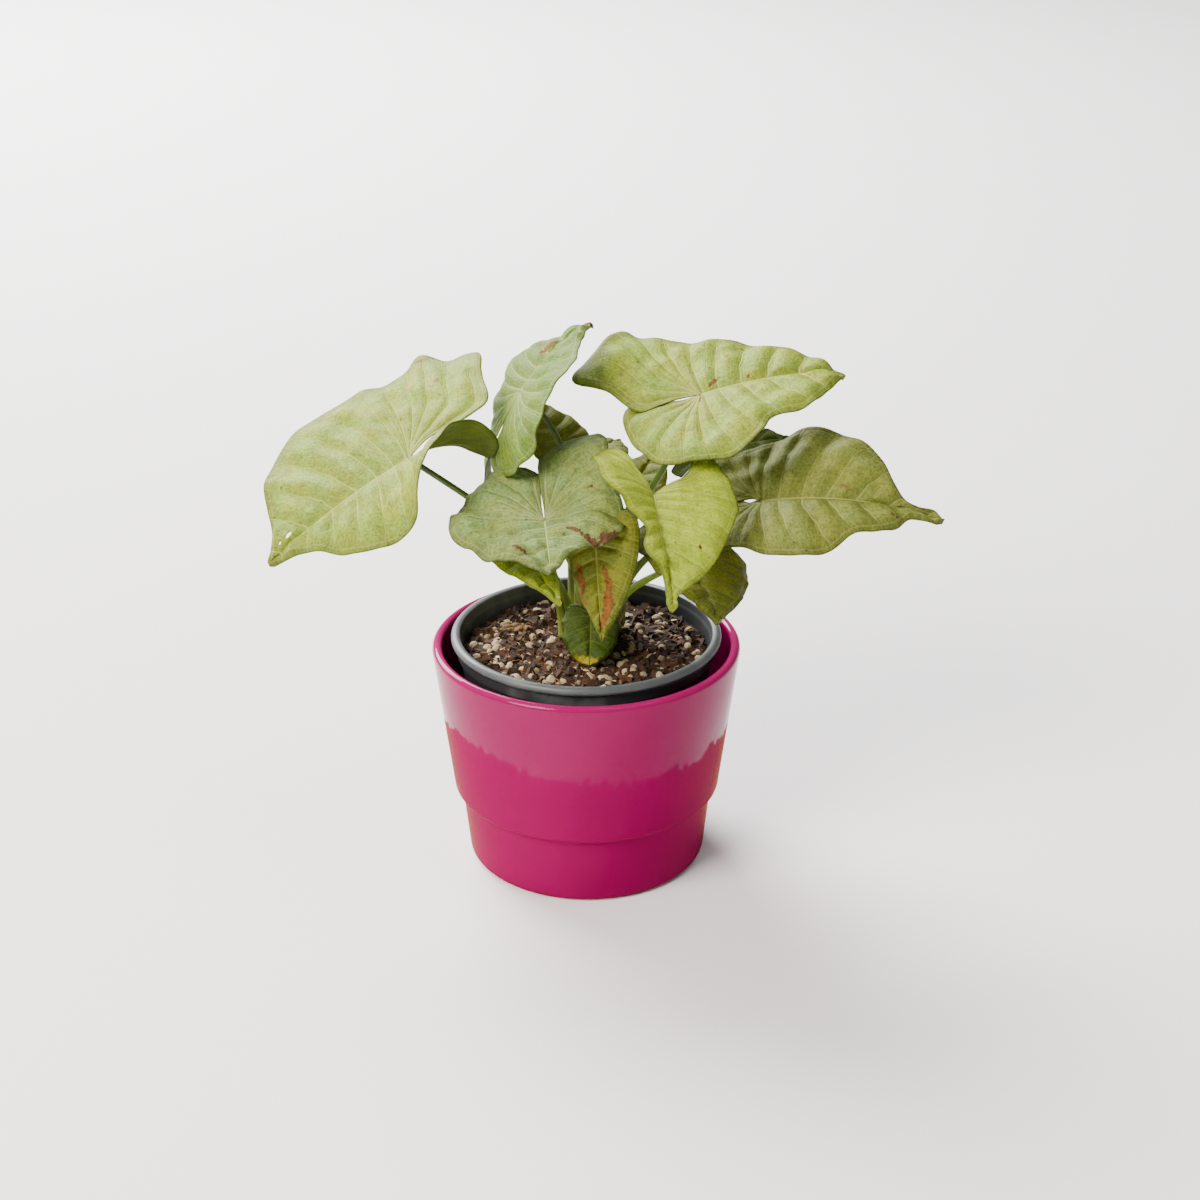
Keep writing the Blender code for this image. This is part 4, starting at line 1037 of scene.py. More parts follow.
def moulded_plastic(colour):
    """Injection-moulded recycled polypropylene: low sheen, fine grain, dust, faint flow streaks and painted
    shade on the wall under the rim.
    """
    material, tree, shader = start_material("grey_moulded_polypropylene", colour, 0.45)
    place = add(tree, "TexCoord", output="Object")
    height = add(tree, "SeparateXYZ", {0: place}, "Z")
    grain = add(tree, "TexNoise", {"Vector": place, "Scale": 1400.0, "Detail": 2.0})
    cloud = add(tree, "TexNoise", {"Vector": place, "Scale": 45.0, "Detail": 4.0})
    upright = add(tree, "Mapping", {"Vector": place, "Scale": (1.0, 1.0, 0.08)})
    flow = add(tree, "TexNoise", {"Vector": upright, "Scale": 160.0, "Detail": 2.0})
    # Painted shade: the wall under the rolled rim is darker, where it stands in the cover pot's shadow
    low = add(tree, "MapRange", {
        "Value": height, "From Min": 0.1015, "From Max": 0.1072, "To Min": 1.0, "To Max": 0.0,
    }, interpolation_type="SMOOTHSTEP")
    body = add(tree, "Mix", {0: low, 6: colour, 7: linear("2b2e30")}, 2, data_type="RGBA")
    streak = add(tree, "MapRange", {"Value": flow, "From Min": 0.4, "From Max": 0.75, "To Max": 0.25})
    body = add(tree, "Mix", {0: streak, 6: body, 7: linear("262a2d")}, 2, data_type="RGBA")
    dust = add(tree, "MapRange", {"Value": cloud, "From Min": 0.48, "From Max": 0.75, "To Max": 0.35})
    body = add(tree, "Mix", {0: dust, 6: body, 7: linear("8d8f88")}, 2, data_type="RGBA")
    tree.links.new(body, shader.inputs["Base Color"])
    gloss = add(tree, "MapRange", {"Value": cloud, "To Min": 0.34, "To Max": 0.6})
    tree.links.new(gloss, shader.inputs["Roughness"])
    normal = add(tree, "Bump", {"Height": grain, "Distance": 0.05 * MM, "Strength": 0.6})
    tree.links.new(normal, shader.inputs["Normal"])
    return material


def crumbly_solid(name, dark, light, scale, relief, roughness):
    """A crumbly organic or mineral solid, matt all over, told apart by each grain's own tone."""
    material, tree, shader = start_material(name, dark, roughness)
    place = add(tree, "TexCoord", output="Object")
    tone = add(tree, "Attribute", output="Fac", attribute_name="tone")
    grain = add(tree, "TexNoise", {"Vector": place, "Scale": scale, "Detail": 4.0, "Roughness": 0.65})
    shade = add(tree, "Math", {0: grain, 1: 0.8, 2: tone}, operation="MULTIPLY_ADD")
    shade = add(tree, "MapRange", {"Value": shade, "From Min": 0.25, "From Max": 1.35})
    colour = add(tree, "Mix", {0: shade, 6: dark, 7: light}, 2, data_type="RGBA")
    tree.links.new(colour, shader.inputs["Base Color"])
    normal = add(tree, "Bump", {"Height": grain, "Distance": relief, "Strength": 1.0})
    tree.links.new(normal, shader.inputs["Normal"])
    return material


# Pots


def arc(centre, radius, start, end, steps):
    """Points of an arc in the (radius, height) plane, angles in degrees."""
    angles = np.radians(np.linspace(start, end, steps + 1))
    return [(centre[0] + radius * math.cos(a), centre[1] + radius * math.sin(a)) for a in angles]


COVER_HEIGHT = 103.5 * MM
COVER_RIM_R = 68.5 * MM
COVER_LEDGE_R = 60.2 * MM
COVER_LEDGE_Z = 33.5 * MM
COVER_FOOT_TOP_R = 57.0 * MM
COVER_FOOT_R = 53.8 * MM
COVER_WALL = 4.6 * MM
COVER_FLOOR = 5.0 * MM
COVER_EDGE = 2.2 * MM


def cover_pot_profile():
    """The glazed pot's outline: foot ring, narrow foot, ledge, flared wall, rounded lip, inside."""
    lip_r = COVER_WALL / 2
    inner_rim_r = COVER_RIM_R - COVER_WALL
    inner_foot_r = COVER_FOOT_R - COVER_WALL
    outside = [
        (0.0, 0.9 * MM), (COVER_FOOT_R - 9 * MM, 0.9 * MM), (COVER_FOOT_R - 8 * MM, 0.0),
        (COVER_FOOT_R - COVER_EDGE, 0.0), (COVER_FOOT_R, COVER_EDGE),
        (COVER_FOOT_TOP_R, COVER_LEDGE_Z - 0.8 * MM),
        (COVER_LEDGE_R - 0.9 * MM, COVER_LEDGE_Z + 0.1 * MM), (COVER_LEDGE_R, COVER_LEDGE_Z + 1.4 * MM),
        (COVER_RIM_R, COVER_HEIGHT - lip_r),
    ]
    outside = rounded_profile(outside, 1.3 * MM)
    lip = arc((COVER_RIM_R - lip_r, COVER_HEIGHT - lip_r), lip_r, 0, 180, 16)
    inside = [
        (inner_rim_r, COVER_HEIGHT - lip_r), (inner_rim_r - 1.2 * MM, COVER_HEIGHT - 14 * MM),
        (COVER_LEDGE_R - COVER_WALL, COVER_LEDGE_Z + 4 * MM), (inner_foot_r + 0.5 * MM, COVER_FLOOR + 5 * MM),
        (inner_foot_r - 3 * MM, COVER_FLOOR), (0.0, COVER_FLOOR),
    ]
    return [*outside, *lip[1:], *rounded_profile(inside, 3 * MM)[1:]]


NURSERY_RIM_R = 60.0 * MM
NURSERY_RIM_TOP = 108.3 * MM
NURSERY_RIM_DEPTH = 4.2 * MM
NURSERY_RIM_WIDTH = 4.0 * MM
NURSERY_NECK_R = 57.6 * MM
NURSERY_BODY_TOP_R = 56.6 * MM
NURSERY_BASE_R = 43.0 * MM
NURSERY_WALL = 1.4 * MM
NURSERY_FLOOR = 1.8 * MM
NURSERY_BOTTOM = 5.3 * MM
DRAIN_HOLES = 8
DRAIN_HOLE_R = 3.5 * MM
DRAIN_RING_R = 31.0 * MM


def nursery_inner_r(height):
    """Radius of the nursery pot's inside at a height."""
    low = NURSERY_BOTTOM + NURSERY_FLOOR
    high = NURSERY_RIM_TOP - NURSERY_RIM_DEPTH
    base = NURSERY_BASE_R - NURSERY_WALL
    return base + (NURSERY_BODY_TOP_R - NURSERY_WALL - base) * (height - low) / (high - low)


def nursery_pot_profile():
    """The nursery pot's outline: floor, tapered body, neck band, groove, rolled rim, inside."""
    rim_low = NURSERY_RIM_TOP - NURSERY_RIM_DEPTH
    neck_low = rim_low - 6 * MM
    outside = [
        (0.0, NURSERY_BOTTOM), (NURSERY_BASE_R - 1.5 * MM, NURSERY_BOTTOM),
        (NURSERY_BASE_R, NURSERY_BOTTOM + 1.5 * MM), (NURSERY_BODY_TOP_R - 0.6 * MM, neck_low),
        (NURSERY_NECK_R, neck_low + 1.0 * MM), (NURSERY_NECK_R, rim_low - 0.9 * MM),
        (NURSERY_NECK_R - 0.5 * MM, rim_low - 0.3 * MM), (NURSERY_RIM_R - 1.2 * MM, rim_low),
    ]
    outside = rounded_profile(outside, 0.5 * MM, 3)
    rim_r = NURSERY_RIM_DEPTH / 2
    rim = arc((NURSERY_RIM_R - rim_r, NURSERY_RIM_TOP - rim_r), rim_r, -62, 90, 14)
    inner_lip = NURSERY_RIM_R - NURSERY_RIM_WIDTH
    inside = [
        (inner_lip + 1.4 * MM, NURSERY_RIM_TOP), (inner_lip, NURSERY_RIM_TOP - 0.5 * MM),
        (inner_lip - 0.2 * MM, rim_low + 0.6 * MM), (nursery_inner_r(rim_low), rim_low - 0.8 * MM),
        (nursery_inner_r(NURSERY_BOTTOM + NURSERY_FLOOR), NURSERY_BOTTOM + NURSERY_FLOOR),
        (0.0, NURSERY_BOTTOM + NURSERY_FLOOR),
    ]
    return [*outside, *rim[1:], *rounded_profile(inside, 0.6 * MM, 3)]


def cut_drain_holes(pot):
    """Cuts a ring of round drain holes through the pot's floor."""
    shape = bmesh.new()
    for index in range(DRAIN_HOLES):
        angle = math.tau * index / DRAIN_HOLES
        middle = (DRAIN_RING_R * math.cos(angle), DRAIN_RING_R * math.sin(angle), NURSERY_BOTTOM)
        bmesh.ops.create_cone(
            shape, cap_ends=True, segments=24, radius1=DRAIN_HOLE_R, radius2=DRAIN_HOLE_R,
            depth=10 * MM, matrix=Matrix.Translation(middle),
        )
    mesh = bpy.data.meshes.new("drain_hole_cutters")
    shape.to_mesh(mesh)
    shape.free()
    cutter = bpy.data.objects.new("drain_hole_cutters", mesh)
    bpy.context.scene.collection.objects.link(cutter)
    cut = pot.modifiers.new("drain_holes", "BOOLEAN")
    cut.operation = "DIFFERENCE"
    cut.solver = "EXACT"
    cut.object = cutter
    take_result(pot)
    bpy.data.objects.remove(cutter)
    pot.data.set_sharp_from_angle(angle=math.radians(SMOOTH_ANGLE))


# Growing mix and crown


SOIL_TOP = 98.0 * MM
SOIL_DOME = 2.5 * MM
SEAT_GAP = 0.3 * MM
CROWN_CENTRE = (2 * MM, 5 * MM)
CROWN_R = 16.0 * MM
CROWN_TOP = 105.5 * MM
MIX_REACH = 54.4 * MM
MIX_STEPS = 120
BODY_RINGS = 56
HOST_RINGS = 40
# The innermost ring's radius, as a share of MIX_REACH
MIX_MIDDLE = 0.02


def mix_height(x, y):
    """Top of the growing mix: the solid's lumps, heaped up a little round the crown."""
    lumps = 0.8 * MM * np.sin(x / (6 * MM) + 1.3) * np.cos(y / (7 * MM))
    lumps = lumps + 0.6 * MM * np.sin((x + y) / (11 * MM))
    from_crown = np.hypot(x - CROWN_CENTRE[0], y - CROWN_CENTRE[1])
    away = np.clip((from_crown - CROWN_R - 9 * MM) / (10 * MM), 0.0, 1.0)
    dome = SOIL_DOME * (1 - (np.hypot(x, y) / (56 * MM)) ** 2)
    heap = 4.5 * MM * smooth_step((CROWN_R + 7 * MM - from_crown) / (9 * MM))
    return SOIL_TOP + (dome + lumps) * away + heap


def mix_rings(count):
    """Rings of points over the top of the mix, from its middle out to the pot's wall."""
    radius = np.linspace(MIX_MIDDLE, 1.0, count)[:, None] * MIX_REACH
    angle = np.linspace(0, math.tau, MIX_STEPS, endpoint=False)[None, :]
    x = radius * np.cos(angle)
    y = radius * np.sin(angle)
    return np.stack([x, y, mix_height(x, y)], axis=2)


def build_mix_body(material):
    """The mix as one closed lump that fills the nursery pot."""
    top = mix_rings(BODY_RINGS)
    rough = waves_field(77, top[..., 0], top[..., 1], 3.0, 8.0, 12) * 0.45 * MM
    top[:-1, :, 2] += rough[:-1]
    bottom_z = NURSERY_BOTTOM + NURSERY_FLOOR + SEAT_GAP
    share = (nursery_inner_r(bottom_z) - SEAT_GAP) / MIX_REACH
    base = top[-1] * np.array([share, share, 0.0]) + np.array([0.0, 0.0, bottom_z])
    piece = ring_solid("growing_mix_body", np.concatenate([top, base[None]]), material)
    store(piece.data, "tone", np.full(len(piece.data.vertices), 0.12))
    return piece


def scatter_tree(name, make_grain, ragged):
    """Geometry nodes that strew grains over a surface, each with its own size, turn and tone."""
    tree = bpy.data.node_groups.new(name, "GeometryNodeTree")
    sockets = [
        ("Surface", "NodeSocketGeometry", None), ("Grains per square metre", "NodeSocketFloat", 9e4),
        ("Smallest", "NodeSocketFloat", 1.5 * MM), ("Largest", "NodeSocketFloat", 5 * MM),
        ("Tilt", "NodeSocketFloat", 0.6), ("Seed", "NodeSocketInt", 1),
        ("Material", "NodeSocketMaterial", None),
    ]
    for label, kind, default in sockets:
        socket = tree.interface.new_socket(label, in_out="INPUT", socket_type=kind)
        if default is not None:
            socket.default_value = default
    tree.interface.new_socket("Grains", in_out="OUTPUT", socket_type="NodeSocketGeometry")
    entry = tree.nodes.new("NodeGroupInput").outputs
    dots = add(tree, "GeometryNodeDistributePointsOnFaces", {
        "Mesh": entry["Surface"], "Density": entry["Grains per square metre"], "Seed": entry["Seed"],
    })
    size = add(tree, "FunctionNodeRandomValue", {
        2: entry["Smallest"], 3: entry["Largest"], "Seed": entry["Seed"],
    }, 1)
    tilt_down = add(tree, "Math", {0: entry["Tilt"], 1: -1.0}, operation="MULTIPLY")
    lowest = add(tree, "CombineXYZ", {0: tilt_down, 1: tilt_down, 2: 0.0})
    highest = add(tree, "CombineXYZ", {0: entry["Tilt"], 1: entry["Tilt"], 2: math.tau})
    turn = add(tree, "FunctionNodeRandomValue", {
        0: lowest, 1: highest, "Seed": 5,
    }, 0, data_type="FLOAT_VECTOR")
    shape = add(tree, "FunctionNodeRandomValue", {
        0: (0.8, 0.55, 0.75), 1: (1.2, 1.15, 1.3), "Seed": 9,
    }, 0, data_type="FLOAT_VECTOR")
    scale = add(tree, "VectorMath", {0: shape, "Scale": size}, operation="SCALE")
    grains = add(tree, "GeometryNodeInstanceOnPoints", {
        "Points": dots, "Instance": make_grain(tree), "Rotation": turn, "Scale": scale,
    })
    tone = add(tree, "FunctionNodeRandomValue", {"Seed": 13}, 1)
    toned = add(tree, "GeometryNodeStoreNamedAttribute", {
        "Geometry": grains, "Name": "tone", "Value": tone,
    }, data_type="FLOAT", domain="INSTANCE")
    solid = add(tree, "GeometryNodeRealizeInstances", {0: toned})
    place = add(tree, "GeometryNodeInputPosition")
    wobble = add(tree, "TexNoise", {"Vector": place, "Scale": 420.0, "Detail": 2.0}, "Color")
    wobble = add(tree, "VectorMath", {0: wobble, 1: (0.5, 0.5, 0.5)}, operation="SUBTRACT")
    wobble = add(tree, "VectorMath", {0: wobble, "Scale": ragged}, operation="SCALE")
    rough = add(tree, "GeometryNodeSetPosition", {"Geometry": solid, "Offset": wobble})
    done = add(tree, "GeometryNodeSetMaterial", {"Geometry": rough, "Material": entry["Material"]})
    add(tree, "NodeGroupOutput", {"Grains": done})
    return tree


def bark_chip(tree):
    """A flat chip about 1 long, 0.6 wide and 0.3 thick."""
    return add(tree, "GeometryNodeMeshCube", {
        "Size": (1.0, 0.62, 0.32), "Vertices X": 4, "Vertices Y": 3, "Vertices Z": 2,
    })


def perlite_grain(tree):
    """A rounded grain of puffed perlite."""
    return add(tree, "GeometryNodeMeshUVSphere", {"Segments": 8, "Rings": 6, "Radius": 0.5})


def coir_fibre(tree):
    """A thin bent coir fibre 1 long."""
    bend = add(tree, "GeometryNodeCurveQuadraticBezier", {
        "Resolution": 6, "Start": (-0.5, 0.0, 0.0), "Middle": (0.0, 0.35, 0.12), "End": (0.5, 0.05, -0.05),
    })
    ring = add(tree, "GeometryNodeCurvePrimitiveCircle", {"Resolution": 4, "Radius": 0.018})
    return add(tree, "GeometryNodeCurveToMesh", {"Curve": bend, "Profile Curve": ring, "Fill Caps": True})


def strew(name, tree, host_rings, values, material):
    """Grains strewn over rings of the mix's top, as one plain mesh."""
    rings, steps = host_rings.shape[:2]
    piece = mesh_piece(name, host_rings.reshape(-1, 3), ring_faces(rings, steps), material)
    grow = piece.modifiers.new("strewn", "NODES")
    grow.node_group = tree
    values = {**values, "Material": material}
    for item in tree.interface.items_tree:
        if item.in_out == "INPUT" and item.name in values:
            grow[item.identifier] = values[item.name]
    take_result(piece)
    if len(piece.data.polygons) == 0:
        raise RuntimeError(f"{name} has no grains")
    face_outward(piece)
    return piece


def build_crown_mesh(material):
    """The crown: a low woody mound, ringed by old leaf scars and buds."""
    rings, steps = 20, 72
    level = np.linspace(0, 1, rings)[:, None]
    angle = np.linspace(0, math.tau, steps, endpoint=False)[None, :]
    radius = CROWN_R * (1 - 0.86 * smooth_step((level - 0.35) / 0.65) * level)
    radius = radius * (1 + 0.045 * np.sin(7 * angle + 5 * level) + 0.03 * np.sin(13 * angle - 4 * level))
    radius = radius - 0.35 * MM * (1 + np.sin(level * 30))
    height = SOIL_TOP + SEAT_GAP + (CROWN_TOP - SOIL_TOP - SEAT_GAP) * smooth_step(level * 1.25)
    height = height - 0.5 * MM * (1 + np.sin(5 * angle + 3 * level)) * level
    x = CROWN_CENTRE[0] + radius * np.cos(angle)
    y = CROWN_CENTRE[1] + radius * np.sin(angle)
    piece = ring_solid("crown_wood", np.stack([x, y, height], axis=2), material)
    store(piece.data, "tone", np.tile(0.3 + 0.3 * np.sin(9 * angle), (rings, 1)).ravel())
    return piece


# Stalks and sheaths


STALK_POINTS = 60
STALK_SIDES = 16
# Depth of the groove along a stalk's upper side, as a share of its radius
STALK_GROOVE = 0.14
# How far from its end a stalk starts to turn to its blade, as a share of its span
STALK_REACH = 0.30
# Stalks in full light, whose paler green is painted light; the others take a darker copy of it, as painted
# shade
PAINTED_LIT_STALKS = ("centre", "front_right", "hanging_front", "low_right")
SHEATH_CLEAR = 0.5 * MM
SHEATH_THICKNESS = 0.32 * MM


def stalk_path(leaf):
    """Centre line of a stalk, straight up from the crown, then over to its blade."""
    form = BladeForm(leaf)
    root = np.array([leaf.root[0] * MM, leaf.root[1] * MM, CROWN_TOP + SEAT_GAP])
    arrive = np.array(leaf.arrive) / np.linalg.norm(leaf.arrive)
    end = form.junction - form.up() * 0.15 * MM
    span = np.linalg.norm(end - root)
    lift = root + np.array([0.0, 0.0, span * leaf.stalk_rise])
    lead = end - arrive * span * STALK_REACH
    t = np.linspace(0, 1, STALK_POINTS)[:, None]
    path = root * (1 - t) ** 3 + lift * 3 * t * (1 - t) ** 2
    path = path + lead * 3 * t * t * (1 - t) + end * t ** 3
    return path, t[:, 0]


def tube(name, path, radii, material):
    """A closed grooved tube along a path, with its map round it and along it."""
    tangents = np.gradient(path, axis=0)
    tangents /= np.linalg.norm(tangents, axis=1, keepdims=True)
    side = np.cross(tangents[0], [0.0, 1.0, 0.0])
    across = []
    for tangent in tangents:
        side = side - tangent * np.dot(side, tangent)
        side /= np.linalg.norm(side)
        across.append(side)
    across = np.array(across)
    over = np.cross(tangents, across)
    angle = np.linspace(0, math.tau, STALK_SIDES, endpoint=False)
    groove = 1 - STALK_GROOVE * np.exp(-((angle - math.pi / 2) / 0.55) ** 2)
    ring = np.cos(angle)[:, None] * across[:, None] + np.sin(angle)[:, None] * over[:, None]
    piece = ring_solid(name, path[:, None] + ring * radii[:, None, None] * groove[:, None], material)
    along = np.concatenate([[0], np.cumsum(np.linalg.norm(np.diff(path, axis=0), axis=1))])
    u = np.tile(np.abs(angle / math.pi - 1) * 0.06, len(path))
    v = np.repeat(along / MAP_UNIT, STALK_SIDES)
    store_uv(piece.data, np.stack([u, v], axis=1))
    store(piece.data, "reach", np.repeat(along / along[-1], STALK_SIDES))
    return piece


def build_stalk(leaf, index, material):
    """A stalk with a clasping sheathed foot, a taper, and a small swelling under its blade."""
    path, t = stalk_path(leaf)
    radius = leaf.stalk_r * MM * (1 - 0.4 * t)
    foot = 1 + 0.22 * (1 - smooth_step(t / 0.38))
    swelling = 1 + 0.28 * np.exp(-((t - 0.97) / 0.025) ** 2)
    uneven = 1 + 0.03 * np.sin(t * 23 + index)
    return tube(f"{leaf.name}_stalk", path, radius * foot * swelling * uneven, material)


def build_sheath(leaf, facing, height, seed, material):
    """A papery strip round one side of a stalk's foot, split and ragged at its top."""
    path, _ = stalk_path(leaf)
    rows, cols = 26, 18
    rng = np.random.default_rng(seed)
    level = np.linspace(0, 1, rows)[:, None]
    share = np.linspace(-0.5, 0.5, cols)[None, :]
    ragged = 1 - 0.16 * rng.random(cols)[None, :] - 0.5 * (2 * np.abs(share)) ** 1.5
    z = CROWN_TOP + SEAT_GAP + height * level * ragged
    span = math.radians(150) * (1 - 0.55 * level ** 2)
    angle = math.radians(facing) + span * share
    centre = np.stack([np.interp(z, path[:, 2], path[:, axis]) for axis in (0, 1)], axis=2)
    flare = 1.6 * MM * level ** 2 + 0.25 * MM * np.sin(angle * 9 + level * 5)
    radius = leaf.stalk_r * MM * 1.2 + SHEATH_CLEAR + flare
    skins = []
    for skin in (SHEATH_THICKNESS, 0.0):
        x = centre[..., 0] + (radius + skin) * np.cos(angle)
        y = centre[..., 1] + (radius + skin) * np.sin(angle)
        skins.append(np.stack([x, y, z], axis=2).reshape(-1, 3))
    count = rows * cols
    faces = []
    for row in range(rows - 1):
        for col in range(cols - 1):
            a = row * cols + col
            quad = (a, a + 1, a + cols + 1, a + cols)
            faces.append(quad)
            faces.append(tuple(c + count for c in quad[::-1]))
    faces += [(b, a, a + count, b + count) for a, b in border_edges(faces[0::2])]
    piece = mesh_piece(f"{leaf.name}_sheath", np.concatenate(skins), faces, material)
    face_outward(piece)
    edge = np.maximum(np.abs(share) * 2, level) ** 6 * np.ones((rows, cols))
    store(piece.data, "edge", np.tile(edge.ravel(), 2))
    u = np.repeat(share * 0.12, rows, axis=0)
    v = np.repeat(level * height / MAP_UNIT, cols, axis=1)
    uv = np.stack([u, v], axis=2).reshape(-1, 2)
    store_uv(piece.data, np.concatenate([uv, uv]))
    return piece


# Sizes and colours that a user would change


class PlantSettings(bpy.types.PropertyGroup):
    glaze_colour: FloatVectorProperty(
        name="Glaze colour", description="Colour of the cover pot's gloss glaze",
        default=linear("850148"), size=4, min=0.0, max=1.0, subtype="COLOR",
    )
    glaze_roughness: FloatProperty(
        name="Glaze roughness", description="0 is a perfect mirror finish",
        default=0.07, min=0.0, max=1.0, subtype="FACTOR",
    )
    plastic_colour: FloatVectorProperty(
        name="Plastic colour", description="Colour of the nursery pot",
        default=linear("464b4c"), size=4, min=0.0, max=1.0, subtype="COLOR",
    )
    lathe_steps: IntProperty(
        name="Steps round the pots", description="How many facets go round each pot",
        default=160, min=48, max=256,
    )
    blade_thickness: FloatProperty(
        name="Blade thickness", description="Thickness of a leaf blade",
        default=0.5 * MM, min=0.3 * MM, max=0.8 * MM, precision=5, unit="LENGTH",
    )
    quilt_depth: FloatProperty(
        name="Quilting", description="How far the blade bulges between veins, as a share of their spacing",
        default=0.15, min=0.0, max=0.3, subtype="FACTOR",
    )


class MixSettings(bpy.types.PropertyGroup):
    chips: FloatProperty(
        name="Bark chips", description="Bark and coir chips on each square metre of the mix's top",
        default=1.9e5, min=0.0,
    )
    largest_chip: FloatProperty(
        name="Largest chip", description="Length of the largest bark chip",
        default=6.5 * MM, min=1 * MM, max=15 * MM, precision=5, unit="LENGTH",
    )
    perlite: FloatProperty(
        name="Perlite grains", description="Perlite grains on each square metre of the mix's top",
        default=3.6e4, min=0.0,
    )
    largest_perlite: FloatProperty(
        name="Largest perlite grain", description="Width of the largest perlite grain",
        default=5.0 * MM, min=1 * MM, max=8 * MM, precision=5, unit="LENGTH",
    )
    fibres: FloatProperty(
        name="Coir fibres", description="Coir fibres on each square metre of the mix's top",
        default=5.0e4, min=0.0,
    )


# Stage


CARD_STEPS = 360
PLANT_MIDDLE = (0.0, 0.0, 0.14)
# Name, place, point it is aimed at, diameter, watts and colour
LIGHTS = [
    ("key_light", (-0.90, -0.92, 1.18), PLANT_MIDDLE, 0.9, 52.0, "fffaf2"),
    ("top_light", (0.45, -0.25, 1.6), PLANT_MIDDLE, 0.8, 5.0, "f8f8ff"),
    ("back_light", (-0.5, 1.1, 1.2), PLANT_MIDDLE, 0.9, 8.0, "ffffff"),
    ("far_floor_light", (-1.3, 2.2, 1.9), (0.0, 2.0, 0.0), 2.6, 380.0, "ffffff"),
]


def card_outline():
    """The reflection card's ring of points on the floor, wider on the left, with a ragged edge."""
    angle = np.linspace(0, math.tau, CARD_STEPS, endpoint=False)
    rng = np.random.default_rng(4)
    reach = 0.143 + 0.016 * np.clip(-np.cos(angle), 0, 1) ** 2 + 0.002 * np.sin(7 * angle)
    reach += 0.0022 * np.repeat(rng.standard_normal(CARD_STEPS // 4), 4)
    reach += 0.0012 * rng.standard_normal(CARD_STEPS)
    return [(r * math.cos(a), r * math.sin(a), 0.4 * MM) for r, a in zip(reach, angle)]


# Operators


class ARROWHEAD_OT_cover_pot(bpy.types.Operator):
    """Makes the glazed cover pot"""

    bl_idname = "arrowhead.cover_pot"
    bl_label = "Cover Pot"

    def execute(self, context):
        plant = context.scene.arrowhead_plant
        glaze = glazed_ceramic(tuple(plant.glaze_colour), plant.glaze_roughness)
        pot = turned("glazed_cover_pot", cover_pot_profile(), plant.lathe_steps, glaze, 50)
        settle(pot, "magenta_glaze", "cover_pot")
        return {"FINISHED"}


class ARROWHEAD_OT_nursery_pot(bpy.types.Operator):
    """Makes the moulded nursery pot with its drain holes"""

    bl_idname = "arrowhead.nursery_pot"
    bl_label = "Nursery Pot"

    def execute(self, context):
        plant = context.scene.arrowhead_plant
        plastic = moulded_plastic(tuple(plant.plastic_colour))
        pot = turned("moulded_nursery_pot", nursery_pot_profile(), plant.lathe_steps, plastic)
        cut_drain_holes(pot)
        settle(pot, "grey_plastic", "nursery_pot")
        return {"FINISHED"}


class ARROWHEAD_OT_growing_mix(bpy.types.Operator):
    """Makes the growing mix: a body, bark chips, perlite grains and coir fibres"""

    bl_idname = "arrowhead.growing_mix"
    bl_label = "Growing Mix"

    def execute(self, context):
        mix = context.scene.arrowhead_mix
        # Composted bark and coir: matt, near black in the gaps, chips of every brown
        compost, bark, puffed, coir = (
            crumbly_solid(name, linear(dark), linear(light), scale, relief * MM, roughness)
            for name, dark, light, scale, relief, roughness in (
                ("composted_bark_fines", "0e0804", "2c1b0b", 900.0, 0.5, 0.95),
                ("pine_bark_chips", "0c0703", "48290c", 1100.0, 0.25, 0.92),
                ("puffed_perlite", "6b573e", "c0aa86", 1500.0, 0.20, 0.92),
                ("coir_fibre", "4a2c14", "a5793f", 900.0, 0.05, 0.9),
            )
        )
        settle(build_mix_body(compost), "growing_mix", "soil")
        # Grains keep clear of the pot's wall, and long fibres keep further from it
        top = mix_rings(HOST_RINGS)[:-2] + np.array([0.0, 0.0, 0.4 * MM])
        chips = scatter_tree("strewn_bark_chips", bark_chip, 1.1 * MM)
        grains = scatter_tree("strewn_perlite", perlite_grain, 1.3 * MM)
        strands = scatter_tree("strewn_coir_fibres", coir_fibre, 2.0 * MM)
        kinds = [
            ("mix_bark_chips", chips, bark, {
                "Grains per square metre": mix.chips, "Smallest": 1.6 * MM, "Largest": mix.largest_chip,
                "Tilt": 0.75, "Seed": 11,
            }),
            ("mix_perlite_grains", grains, puffed, {
                "Grains per square metre": mix.perlite, "Smallest": 1.3 * MM, "Largest": mix.largest_perlite,
                "Tilt": 3.0, "Seed": 23,
            }),
            ("mix_coir_fibres", strands, coir, {
                "Grains per square metre": mix.fibres, "Smallest": 4.0 * MM, "Largest": 11.0 * MM,
                "Tilt": 0.35, "Seed": 37,
            }),
        ]
        for name, tree, material, values in kinds:
            rings = top[:-6] if name == "mix_coir_fibres" else top
            settle(strew(name, tree, rings, values, material), "growing_mix")
        return {"FINISHED"}


class ARROWHEAD_OT_crown(bpy.types.Operator):
    """Makes the woody crown"""

    bl_idname = "arrowhead.crown"
    bl_label = "Crown"

    def execute(self, context):
        # Corky stem base: matt, brown-green, ringed by old leaf scars
        corky = crumbly_solid("corky_crown", linear("2e2412"), linear("77703a"), 500.0, 0.4 * MM, 0.85)
        settle(build_crown_mesh(corky), "crown", "crown")
        return {"FINISHED"}


class ARROWHEAD_OT_leaf_blades(bpy.types.Operator):
    """Makes every leaf blade"""

    bl_idname = "arrowhead.leaf_blades"
    bl_label = "Leaf Blades"

    def execute(self, context):
        plant = context.scene.arrowhead_plant
        tissue = leaf_materials()
        for index, leaf in enumerate(LEAVES):
            material = tissue[leaf.finish]
            blade = build_blade_mesh(leaf, index, material, plant.blade_thickness, plant.quilt_depth)
            settle(blade, f"{leaf.name}_green", f"leaf_{leaf.name}")
        return {"FINISHED"}


